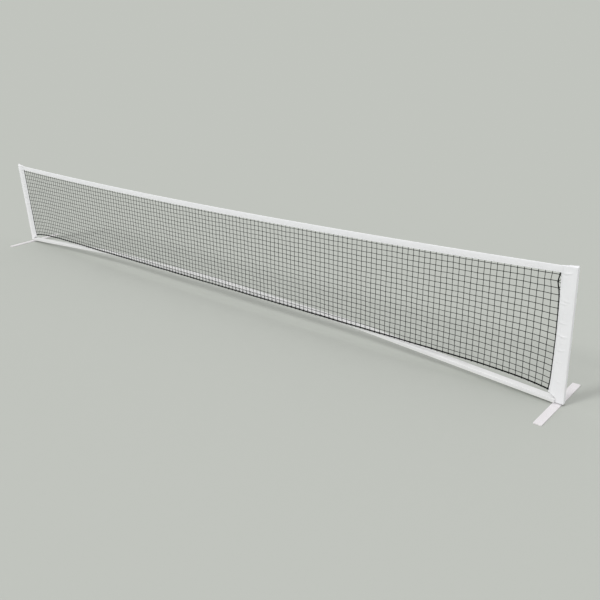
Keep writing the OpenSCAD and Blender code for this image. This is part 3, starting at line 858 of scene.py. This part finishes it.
def rolled_cord(name, path, radius, around, up=None):
    """A round cord along a path: a strip of grid rolled up, with its ends closed. The radius
    is one value, or one for each point of the path."""
    path = np.array(path, float)
    steps = len(path)
    radius = np.broadcast_to(radius, steps)
    length = float(np.linalg.norm(np.diff(path, axis=0), axis=1).sum())
    piece = sheet_grid(name, steps, around + 1, (length, 2 * math.pi * float(radius.mean())))
    column, row = grid_order(piece, steps, around + 1)
    heading = np.gradient(path, axis=0)
    heading /= np.linalg.norm(heading, axis=1)[:, None]
    if up is None:
        up = (0, 1, 0) if abs(heading[0, 2]) > 0.9 else (0, 0, 1)
    side = np.cross(up, heading)
    side /= np.linalg.norm(side, axis=1)[:, None]
    over = np.cross(heading, side)
    angle = row * 2 * math.pi / around
    points = path[column] + radius[column][:, None] * (
        np.cos(angle)[:, None] * side[column] + np.sin(angle)[:, None] * over[column])
    write_points(piece.data, points)
    bpy.ops.object.mode_set(mode="EDIT")
    bpy.ops.mesh.select_all(action="SELECT")
    bpy.ops.mesh.remove_doubles(threshold=0.00001)
    bpy.ops.mesh.select_all(action="DESELECT")
    bpy.ops.mesh.select_non_manifold()
    bpy.ops.mesh.edge_face_add()
    bpy.ops.mesh.select_all(action="SELECT")
    bpy.ops.mesh.normals_make_consistent(inside=False)
    bpy.ops.object.mode_set(mode="OBJECT")
    return piece


def row_height(row, cells):
    """Height of a strand along the net, where it meets the side cord."""
    low, high = cord_z(side_x), band_bottom(side_x)
    return low + (row + LOWEST_ROW) / cells * (high - low)


class NET_OT_make_cords(bpy.types.Operator):
    """Run the cords along the bottom and down the ends, with a loop of twine at each strand"""
    bl_idname = "tennis_net.make_cords"
    bl_label = "Cords and loops"

    def execute(self, context):
        sizes = context.scene.net_sizes
        tones = context.scene.net_finishes
        braid = braided_cord("Braided polyethylene cord", tones.cord)
        twine = twisted_twine("Laid polyethylene twine, loops", tones.twine, 6, 1, 0)
        columns, rows = sizes.columns, sizes.rows
        cells = rows + SPARE_ROW
        pitch_x = 2 * mesh_reach / columns
        into_seam = 0.0030
        reach = seam_x + into_seam - context.scene.cloth_sizes.corner_pull
        x = np.linspace(-reach, reach, 2 * columns + 1)
        wander = ripple(np.stack([x, x * 0, x * 0], axis=1), 12,
                        ((0.5, 0.0008), (0.23, 0.0006), (0.081, 0.0004)))
        inside = np.clip(x / seam_x, -1, 1) * seam_x
        path = np.stack([x, cord_y(inside), cord_z(inside) + wander], axis=1)
        cord = rolled_cord("bottom_cord_braid", path, BRAID_RADIUS, 12)
        shade(cord, 60)
        finish_piece(cord, "net", braid, ("bottom_cord",))
        above_cord, into_band = 0.001, 0.004
        for side, name in ((-1, "left"), (1, "right")):
            z = np.linspace(cord_z(side_x) + above_cord, band_bottom(side_x) + into_band, 90)
            x = side_x + seam_shift(side, z) - slack(side, z)
            path = np.stack([side * x, z * 0 + cord_y(side_x) * 0.5, z], axis=1)
            edge = rolled_cord("side_cord_braid_" + name, path, SIDE_BRAID_RADIUS, 10)
            shade(edge, 60)
            finish_piece(edge, "net", braid, ("side_cord_" + name,))
        # loops round the bottom cord, one under each strand
        loop = sizes.twine / 2 * 0.95
        deselect()
        bpy.ops.mesh.primitive_torus_add(
            major_segments=12, minor_segments=5, major_radius=BRAID_RADIUS + loop * 0.75,
            minor_radius=loop, location=(-mesh_reach, 0, 0),
            rotation=(math.radians(8), math.radians(90), math.radians(14)))
        under = new_piece("loops_under")
        settle(under)
        array(under, columns + 1, (pitch_x, 0, 0))
        points = read_points(under.data)
        step = np.clip(np.rint((points[:, 0] + mesh_reach) / pitch_x), 0, columns)
        middle = -mesh_reach + step * pitch_x
        follow = edge_share(mesh_reach - np.abs(middle))
        points[:, 0] += np.sign(middle) * follow * seam_shift(np.sign(middle), cord_z(middle))
        points[:, 1] += cord_y(middle)
        points[:, 2] += cord_z(middle)
        write_points(under.data, points)
        # loops round the side cords, one at each row, caught in the sleeve's seam
        beside = []
        for side in (-1, 1):
            deselect()
            bpy.ops.mesh.primitive_torus_add(
                major_segments=12, minor_segments=5, major_radius=SIDE_BRAID_RADIUS + loop * 0.7,
                minor_radius=loop, location=(side * side_x, 0, 0),
                rotation=(math.radians(9), math.radians(side * -12), 0))
            ring = new_piece("loops_beside")
            settle(ring)
            array(ring, rows, (0, 0, ROW_PITCH))
            points = read_points(ring.data)
            row = np.clip(np.rint(points[:, 2] / ROW_PITCH), 0, rows - 1)
            height = row_height(row, cells)
            points[:, 0] += side * (seam_shift(side, height) - slack(side, height))
            points[:, 2] += height - row * ROW_PITCH
            write_points(ring.data, points)
            beside.append(ring)
        # the lacing from a loop to the seam is made where it shows: at the right sleeve's top
        # rows, which are loose
        loose_rows = 4
        past_seam, half_width, half_height = 0.001, 0.0012, 0.009
        for row in range(rows - loose_rows, rows):
            height = row_height(row, cells)
            start = side_x + float(seam_shift(1, height) - slack(1, height))
            end = seam_x + past_seam + float(seam_shift(1, height))
            rise = np.linspace(-1, 1, 9)
            path = np.stack([end - (end - start) * (1 - rise ** 2), half_width * rise,
                             height + half_height * rise], axis=1)
            beside.append(rolled_cord("lacing", path, sizes.twine / 2, 6, up=(0, 1, 0)))
        loops = join([under] + beside, "net_loops")
        shade(loops, 180)
        finish_piece(loops, "net", twine)
        return {"FINISHED"}


# ---- Cloth ----

def band_profile():
    """Half section of the folded headband, from its lower edge up and over the fold: distance
    below the top and distance out from the middle, in metres."""
    depth = [0.0450, 0.0440, 0.0420, 0.0405, 0.0390, 0.0360, 0.0320, 0.0270, 0.0210, 0.0140,
             0.0080, 0.0045, 0.0025, 0.0011, 0.0003]
    out = [0.0021, 0.0025, 0.0027, 0.0026, 0.0023, 0.0025, 0.0029, 0.0031, 0.0031, 0.0031,
           0.0031, 0.0030, 0.0025, 0.0017, 0.0008]
    return depth, out


class NET_OT_make_headband(bpy.types.Operator):
    """Fold the headband over the top of the net"""
    bl_idname = "tennis_net.make_headband"
    bl_label = "Headband"

    def execute(self, context):
        cloth = context.scene.cloth_sizes
        material = woven_cloth("Coated headband cloth", context.scene.net_finishes.cloth, 0.25)
        depth, out = band_profile()
        side_count = len(depth)
        across = 2 * side_count + 1
        depths = np.array(depth + [0.0] + depth[::-1])
        outs = np.array([-o for o in out] + [0.0] + out[::-1])
        along = 2 * context.scene.net_sizes.columns + 1
        into_seam = 0.0032
        reach = seam_x + into_seam
        width = float(np.hypot(np.diff(depths), np.diff(outs)).sum())
        piece = sheet_grid("headband_cloth", along, across, (2 * reach, width))
        column, row = grid_order(piece, along, across)
        x = -reach + 2 * reach * column / (along - 1)
        inside = np.clip(x, -seam_x, seam_x)
        place = np.stack([x, outs[row] * 3, depths[row]], axis=1)
        wave = ripple(place, 21, ((1.5, 0.00025), (0.9, 0.00015), (0.6, 0.0001)))
        # each strand of the net pulls a shallow scallop into the lower edge
        pitch = 2 * mesh_reach / context.scene.net_sizes.columns
        scallop_out, scallop_up = 0.00025, 0.0004
        edge_from, edge_depth, end_length = 0.030, 0.015, 0.05
        pull = 0.5 - 0.5 * np.cos((x + mesh_reach) / pitch * 2 * math.pi)
        low_edge = np.clip((depths[row] - edge_from) / edge_depth, 0, 1)
        fade = np.clip((seam_x - np.abs(x)) / end_length, 0, 1)
        y = outs[row] + fade * (wave + np.sign(outs[row]) * scallop_out * pull * low_edge)
        drawn_up = (band_top(inside) - band_bottom(inside)) / band_depth
        z = (band_top(inside) - depths[row] * drawn_up
             + fade * (scallop_up * pull * low_edge + 0.4 * wave))
        write_points(piece.data, np.stack([x, y, z], axis=1))
        close_cloth(piece, cloth.thickness)
        shade(piece, 50)
        finish_piece(piece, "net", material, ("headband",))
        return {"FINISHED"}


def close_cloth(piece, thickness):
    """Gives a cloth sheet its thickness, inwards from its outer face."""
    pick(piece)
    modifier = piece.modifiers.new("Cloth", "SOLIDIFY")
    modifier.thickness = thickness
    modifier.offset = -1
    bpy.ops.object.modifier_apply(modifier=modifier.name)


# Stations along a sleeve, in metres from its seam: across the web, round the bend by the post,
# and over the front
SLEEVE_STATIONS = [
    0.0, 0.0012, 0.0030, 0.0050, 0.0068, 0.0090, 0.0120, 0.0155, 0.0190, 0.0225, 0.0260,
    0.0290, 0.0320, 0.0345, 0.0365, 0.0380, 0.0390, 0.0402, 0.0420, 0.0445, 0.0475, 0.0510,
    0.0550, 0.0590, 0.0635, 0.0680, 0.0720, 0.0760, 0.0800, 0.0835, 0.0860,
]
# Radius of the rounded outer corners, seen from above
SLEEVE_CORNER = 0.0043
# Rows of points up a sleeve's wall, before its top turns over
WALL_ROWS = 250
# Height of the turn from the wall to the top
TURN_HEIGHT = 0.0016
# The turn over the top: share of the half thickness left, and of the rise to the ridge
TOP_TURN = ((0.985, 0.0), (0.95, 0.0), (0.885, 0.0), (0.70, 0.16), (0.45, 0.34), (0.25, 0.50),
            (0.12, 0.62), (0.0, 0.80), (0.0, 1.0))


def sleeve_outline():
    """Section round a sleeve: x and, beyond its web, y of each point, front seam first."""
    outer = sleeve_high.x - COVER
    flat_half = sleeve_high.y - COVER
    xs = [seam_x + station for station in SLEEVE_STATIONS]
    halves = [None] * len(xs)
    for turn in (0, 22.5, 45, 67.5, 90):
        angle = math.radians(turn)
        xs.append(outer - SLEEVE_CORNER + SLEEVE_CORNER * math.sin(angle))
        halves.append(flat_half - SLEEVE_CORNER + SLEEVE_CORNER * math.cos(angle))
    for share in (0.8, 0.6, 0.4, 0.2, 0.0):
        xs.append(outer)
        halves.append((flat_half - SLEEVE_CORNER) * share)
    xs = xs + xs[-2::-1]
    halves = halves + [None if h is None else -h for h in halves[-2::-1]]
    return np.array(xs), halves


def web_half(x, z):
    """Half thickness of the sleeve between its seam and the post, wider where the headband
    is sewn in."""
    flat_half = sleeve_high.y - COVER
    seam_half, band_half, blend = 0.0016, 0.0022, 0.010
    seam = seam_half + band_half * np.clip((z - band_bottom(seam_x) + blend) / blend, 0, 1)
    seam_width, before_post = 0.009, 0.001
    start, end = seam_x + seam_width, post_low.x - before_post
    share = np.clip((x - start) / (end - start), 0, 1)
    return seam + (flat_half - seam) * share ** 1.04


def over_band(x):
    """How much higher the sleeve lies where the headband's end is sewn into it."""
    height, length = 0.0012, 0.020
    return height * np.clip(1 - (x - seam_x) / length, 0, 1)


def sleeve_ridge_z(x, side):
    """The sewn ridge along a sleeve's top: one slope from the headband to the outer corner,
    which stands up in a small ear."""
    cloth = bpy.context.scene.cloth_sizes
    stand_off, over_cap = 0.0003, 0.0022
    ear_width_right, ear_width_left = 0.012, 0.028
    slope = (sleeve_high.z - band_end) / (sleeve_high.x - seam_x)
    edge = band_end + stand_off + slope * (x - seam_x) + over_band(x)
    edge = np.where(x > CAP_START, np.maximum(edge, cap_top + over_cap), edge)
    ear, width = ((cloth.ear_right, ear_width_right) if side > 0
                  else (cloth.ear_left, ear_width_left))
    return edge + ear * np.exp(-((sleeve_high.x - x) / width) ** 1.3)


def sleeve_shoulder_z(x, side):
    """Where the walls turn over to the ridge: just above the post's cap."""
    ridge = sleeve_ridge_z(x, side)
    web = ridge - TURN_HEIGHT - 0.2 * over_band(x)
    below_ridge, over_cap = 0.0006, 0.0016
    return np.where(x > CAP_START, np.minimum(ridge - below_ridge, cap_top + over_cap), web)


def sleeve_hem_z(x):
    """Lower edge of a sleeve: along the base tube, with a step down in front of the socket."""
    above_tube, fall, past_post = 0.022, 0.018, 0.0012
    share = np.clip((x - seam_x) / (post_low.x - seam_x), 0, 1)
    tube_edge = base_top(x) + above_tube - fall * share
    return np.where(x > post_low.x + past_post, sleeve_low.z, tube_edge)


# Short sideways puckers down the middle of a sleeve, on both its faces: height on the front,
# half length, slant, rise
PUCKERS = (
    (0.793, 0.015, -0.31, 1.3), (0.751, 0.014, 0.10, 0.6), (0.690, 0.012, -0.1, 0.5),
    (0.634, 0.016, 0.12, 1.0), (0.618, 0.014, -0.20, 0.9), (0.560, 0.012, 0.1, 0.4),
    (0.500, 0.020, -0.05, 1.1), (0.421, 0.024, 0.06, 1.3), (0.381, 0.012, -0.2, 0.4),
    (0.335, 0.018, -0.10, 0.9), (0.260, 0.017, 0.08, 0.9), (0.196, 0.014, -0.12, 0.6),
    (0.140, 0.016, 0.15, 0.7),
)


class NET_OT_make_sleeves(bpy.types.Operator):
    """Wrap each pocket sleeve round its post and sew it shut"""
    bl_idname = "tennis_net.make_sleeves"
    bl_label = "Pocket sleeves"

    def execute(self, context):
        cloth = context.scene.cloth_sizes
        material = woven_cloth("Coated sleeve cloth", context.scene.net_finishes.cloth, 0.25)
        outline, halves = sleeve_outline()
        across = len(outline)
        rows = WALL_ROWS + len(TOP_TURN)
        fixed = np.array([h is not None for h in halves])
        fixed_half = np.array([0 if h is None else h for h in halves])
        front = np.arange(across) <= across // 2
        kept = np.array([1.0] * WALL_ROWS + [keep for keep, _ in TOP_TURN])
        risen = np.array([0.0] * WALL_ROWS + [rise for _, rise in TOP_TURN])
        for side, name in ((-1, "left"), (1, "right")):
            piece = sheet_grid("sleeve_cloth_" + name, across, rows, (0.215, 0.84))
            column, row = grid_order(piece, across, rows)
            x = outline[column]
            share = np.clip(row / (WALL_ROWS - 1), 0, 1)
            low, ridge = sleeve_hem_z(x), sleeve_ridge_z(x, side)
            shoulder = sleeve_shoulder_z(x, side)
            wall_top = shoulder - TURN_HEIGHT
            z = low + (wall_top - low) * share
            turned = row >= WALL_ROWS
            round_off = np.clip((1 - kept[row]) / 0.115, 0, 1)
            z = np.where(turned, wall_top + TURN_HEIGHT * np.sin(round_off * math.pi / 2) ** 0.7
                         + (ridge - shoulder) * risen[row], z)
            sign = np.where(front[column], -1, 1)
            y = np.where(fixed[column], -fixed_half[column], sign * web_half(x, z))
            y = crease(x, y, z, sign, wall_top, low, side)
            # the front and back meet along the top, a seam's thickness apart
            seam = 0.0011
            beyond = np.maximum(np.abs(y) - seam, 0) * kept[row]
            y = np.where(turned, np.sign(y) * (seam + beyond), y)
            y = np.where(turned & (np.abs(fixed_half[column]) < 0.001) & fixed[column], 0, y)
            in_web = np.clip(1 - (outline[column] - seam_x) / SEAM_REACH, 0, 1)
            x = x + seam_shift(side, z) * in_web
            write_points(piece.data, np.stack([side * x, y, z], axis=1))
            face_out(piece, side * (post_low.x + post_high.x) / 2)
            close_cloth(piece, cloth.thickness)
            shade(piece, 45)
            finish_piece(piece, "net", material, ("sleeve_" + name,))
        return {"FINISHED"}


def crease(x, y, z, sign, high, low, side):
    """How far out the sleeve's cloth lies with its puckers, drape and turned seams."""
    cloth = bpy.context.scene.cloth_sizes
    along = x - seam_x
    web = np.clip(along / 0.012, 0, 1) * np.clip((post_low.x + 0.032 - x) / 0.014, 0, 1)
    # a pucker is a ridge over a groove, and the ones on the back lie a little higher
    middle, back_rise, droop = 0.046, 0.013, 0.004
    ridge_above, ridge_half, groove_half = 0.010, 0.0070, 0.0055
    raised = np.zeros(len(x))
    for height, half, slant, rise in PUCKERS:
        for face in (-1, 1):
            above = (z - height - (back_rise if face > 0 else 0)
                     - slant * face * (along - middle))
            aside = (along - middle) / (1.5 * half)
            above = above + droop * np.cos(np.clip(aside, -3, 3))
            span = np.exp(-aside ** 2)
            fold = (0.9 * np.exp(-((above - ridge_above) / ridge_half) ** 2)
                    - np.exp(-(above / groove_half) ** 2))
            raised += (sign == face) * rise * span * fold
    place = np.stack([along * 0.8, sign * 0.3, z], axis=1)
    drape = ripple(place, 31 + side, ((0.30, 0.0006), (0.17, 0.0005), (0.095, 0.0003)))
    # the cloth is double along the hem and the seam, so it stands a little proud there
    hem = 0.0005 * np.clip((0.016 - (z - low)) / 0.002, 0, 1)
    seam_fold = 0.0004 * np.clip((0.0075 - along) / 0.001, 0, 1)
    stand = hem + seam_fold + cloth.pucker * raised * web + web * drape
    # over the post the cloth can stand off, but hardly sink in
    deepest = -0.0002
    over_post = np.clip((x - post_low.x + 0.008) / 0.004, 0, 1)
    stand = np.where(stand < deepest, deepest + (stand - deepest) * (1 - over_post), stand)
    fade = np.clip((high - z) / 0.012, 0, 1)
    return y + sign * stand * fade * np.where(np.abs(y) > 0.0005, 1, 0)


def face_out(piece, axis_x):
    """Makes the faces of a wall round a post point away from the post."""
    outward = 0.0
    for polygon in piece.data.polygons:
        outward += polygon.area * (polygon.normal.x * (polygon.center.x - axis_x)
                                   + polygon.normal.y * polygon.center.y)
    if outward < 0:
        bpy.ops.object.mode_set(mode="EDIT")
        bpy.ops.mesh.select_all(action="SELECT")
        bpy.ops.mesh.flip_normals()
        bpy.ops.object.mode_set(mode="OBJECT")


# ---- Sewing ----

def stitches(name, runs, step, length, width):
    """Rows of stitches along the given runs. A run is a list of (point, outward) pairs."""
    centres, headings, outs = [], [], []
    for run in runs:
        points = np.array([p for p, _ in run], float)
        faces = np.array([o for _, o in run], float)
        lengths = np.concatenate([[0], np.cumsum(np.linalg.norm(np.diff(points, axis=0), axis=1))])
        for distance in np.arange(step / 2, lengths[-1], step):
            k = min(int(np.searchsorted(lengths, distance)), len(points) - 1)
            t = (distance - lengths[k - 1]) / max(lengths[k] - lengths[k - 1], 1e-9)
            centres.append(points[k - 1] * (1 - t) + points[k] * t)
            headings.append(points[k] - points[k - 1])
            outs.append(faces[k - 1] * (1 - t) + faces[k] * t)
    centres, headings, outs = map(np.array, (centres, headings, outs))
    headings /= np.linalg.norm(headings, axis=1)[:, None]
    outs /= np.linalg.norm(outs, axis=1)[:, None]
    across = np.cross(outs, headings)
    # one stitch, modelled once: a short round bar whose ends dip into the cloth
    deselect()
    bpy.ops.mesh.primitive_cylinder_add(
        vertices=5, radius=width / 2, depth=length, end_fill_type="NOTHING",
        rotation=(0, math.radians(90), 0))
    piece = new_piece(name)
    settle(piece)
    bpy.ops.object.mode_set(mode="EDIT")
    for cut in (length * 0.22, -length * 0.22):
        bpy.ops.mesh.select_all(action="SELECT")
        bpy.ops.mesh.bisect(plane_co=(cut, 0, 0), plane_no=(1, 0, 0))
    bpy.ops.object.mode_set(mode="OBJECT")
    one = read_points(piece.data)
    tip = np.abs(one[:, 0]) > length * 0.4
    one[tip, 1:] *= 0.35
    one[tip, 2] -= width * 0.55
    write_points(piece.data, one)
    # a row of them, far enough apart to tell which is which, then each laid in its place
    apart = length * 4
    array(piece, len(centres), (apart, 0, 0))
    points = read_points(piece.data)
    which = np.clip(np.rint(points[:, 0] / apart).astype(int), 0, len(centres) - 1)
    local = points[:, 0] - which * apart
    placed = (centres[which] + local[:, None] * headings[which]
              + points[:, 1][:, None] * across[which] + points[:, 2][:, None] * outs[which])
    write_points(piece.data, placed)
    return piece


class NET_OT_make_stitching(bpy.types.Operator):
    """Sew the headband's lower edge and the sleeves' seams"""
    bl_idname = "tennis_net.make_stitching"
    bl_label = "Stitching"

    def execute(self, context):
        cloth = context.scene.cloth_sizes
        material = spun_thread("Bonded thread", context.scene.net_finishes.thread)
        thread = 0.0007
        band_face, end_gap = 0.00275, 0.004
        band_runs = []
        xs = np.linspace(-seam_x + end_gap, seam_x - end_gap, 293)
        for face in (-1, 1):
            band_runs.append([((x, face * band_face, band_bottom(x) + cloth.hem),
                               (0, face, 0)) for x in xs])
        insets = (0.0042, 0.0088)
        above_tube, on_cloth = 0.028, 0.0005
        band = stitches("stitching_headband", band_runs, cloth.stitch_step, cloth.stitch, thread)
        shade(band, 180)
        finish_piece(band, "net", material)
        for side, name in ((-1, "left"), (1, "right")):
            runs = []
            for face in (-1, 1):
                for inset in insets:
                    z = np.linspace(base_top(seam_x) + above_tube, band_end - end_gap, 160)
                    half = web_half(seam_x + inset + 0 * z, z)
                    x = seam_x + inset + seam_shift(side, z) * (1 - inset / SEAM_REACH)
                    runs.append([((side * x[k], face * (half[k] + on_cloth), z[k]), (0, face, 0))
                                 for k in range(len(z))])
            sewing = stitches("stitching_sleeve_" + name, runs, cloth.stitch_step, cloth.stitch,
                              thread)
            shade(sewing, 180)
            finish_piece(sewing, "net", material)
        return {"FINISHED"}


# ---- Stage ----

class NET_OT_make_stage(bpy.types.Operator):
    """Set up the floor, the lights, the background and the camera"""
    bl_idname = "tennis_net.make_stage"
    bl_label = "Stage"

    def execute(self, context):
        scene = context.scene
        stage, tones = scene.net_stage, scene.net_finishes
        scene.view_settings.view_transform = "Standard"
        floor_radius = 150
        deselect()
        bpy.ops.mesh.primitive_circle_add(
            vertices=96, radius=floor_radius, fill_type="NGON", location=(0, 0, 0))
        floor = new_piece("floor")
        floor.data.materials.append(studio_floor("Painted board", tones.floor))
        lean_front, lean_left = math.radians(38.3), math.radians(22.5)
        bpy.ops.object.light_add(type="SUN", rotation=(lean_front, -lean_left, 0))
        sun = bpy.context.object
        sun.name = "key_light"
        sun.data.energy = stage.key
        sun.data.angle = math.radians(12)
        world = bpy.data.worlds.new("Studio")
        scene.world = world
        world.use_nodes = True
        tree = world.node_tree
        tree.nodes.clear()
        # the camera, mirrors and glass see the floor as it is lit; all else gets the sky light
        sun_height = math.cos(lean_front) * math.cos(lean_left)
        lit = stage.sky + stage.key * sun_height / math.pi
        # share of the floor's colour that its grain leaves on the whole
        grain_share = 0.9985
        floor_seen = [grain_share * lit * c for c in tones.floor[:3]] + [1.0]
        path = add_node(tree, "ShaderNodeLightPath")
        seen = add_node(tree, "ShaderNodeMath", {
            0: path.outputs["Is Camera Ray"], 1: path.outputs["Is Glossy Ray"]},
            operation="MAXIMUM")
        seen = add_node(tree, "ShaderNodeMath", {
            0: seen.outputs[0], 1: path.outputs["Is Transmission Ray"]}, operation="MAXIMUM")
        light = add_node(tree, "ShaderNodeBackground", {
            "Color": (1, 1, 1, 1), "Strength": stage.sky})
        backdrop = add_node(tree, "ShaderNodeBackground", {
            "Color": floor_seen, "Strength": 1.0})
        either = add_node(tree, "ShaderNodeMixShader", {
            0: seen.outputs[0], 1: light.outputs[0], 2: backdrop.outputs[0]})
        add_node(tree, "ShaderNodeOutputWorld", {"Surface": either.outputs[0]})
        make_camera(stage)
        return {"FINISHED"}


def make_camera(stage):
    """Adds the scene's camera, turned to the left, then tilted down, then rolled."""
    yaw, tilt, roll = stage.camera_turn
    forward = Vector((-math.sin(yaw), math.cos(yaw), 0))
    right = Vector((math.cos(yaw), math.sin(yaw), 0))
    up = Vector((0, 0, 1))
    ahead = forward * math.cos(tilt) - up * math.sin(tilt)
    above = forward * math.sin(tilt) + up * math.cos(tilt)
    across = right * math.cos(roll) + above * math.sin(roll)
    above = -right * math.sin(roll) + above * math.cos(roll)
    deselect()
    bpy.ops.object.camera_add()
    camera = bpy.context.object
    camera.name = "camera"
    turn = Matrix((across, above, -ahead)).transposed().to_4x4()
    camera.matrix_world = Matrix.Translation(Vector(stage.camera_place)) @ turn
    camera.data.sensor_width = 36
    camera.data.lens = stage.lens
    camera.data.clip_end = 500
    bpy.context.scene.camera = camera


class NET_PT_panel(bpy.types.Panel):
    bl_label = "Tennis Net"
    bl_idname = "NET_PT_panel"
    bl_space_type = "VIEW_3D"
    bl_region_type = "UI"
    bl_category = "Tennis Net"

    def draw(self, context):
        layout = self.layout
        for group in ("net_sizes", "cloth_sizes", "net_finishes", "net_stage"):
            settings = getattr(context.scene, group)
            box = layout.box()
            for name in settings.__annotations__:
                box.prop(settings, name)
        for operator in STEPS:
            layout.operator(operator.bl_idname)


GROUPS = {"net_sizes": NetSizes, "cloth_sizes": ClothSizes,
          "net_finishes": Finishes, "net_stage": StageSettings}
STEPS = (NET_OT_make_stage, NET_OT_finish_frame, NET_OT_make_welds, NET_OT_make_mesh,
         NET_OT_make_cords, NET_OT_make_headband, NET_OT_make_sleeves, NET_OT_make_stitching)


def register():
    for cls in (*GROUPS.values(), *STEPS, NET_PT_panel):
        bpy.utils.register_class(cls)
    for name, group in GROUPS.items():
        setattr(bpy.types.Scene, name, bpy.props.PointerProperty(type=group))


def unregister():
    for name in GROUPS:
        delattr(bpy.types.Scene, name)
    for cls in (NET_PT_panel, *reversed(STEPS), *reversed(tuple(GROUPS.values()))):
        bpy.utils.unregister_class(cls)


def main():
    register()
    bpy.ops.tennis_net.make_stage()
    bpy.ops.tennis_net.finish_frame()
    bpy.ops.tennis_net.make_welds()
    bpy.ops.tennis_net.make_mesh()
    bpy.ops.tennis_net.make_cords()
    bpy.ops.tennis_net.make_headband()
    bpy.ops.tennis_net.make_sleeves()
    bpy.ops.tennis_net.make_stitching()


if __name__ == "__main__":
    main()
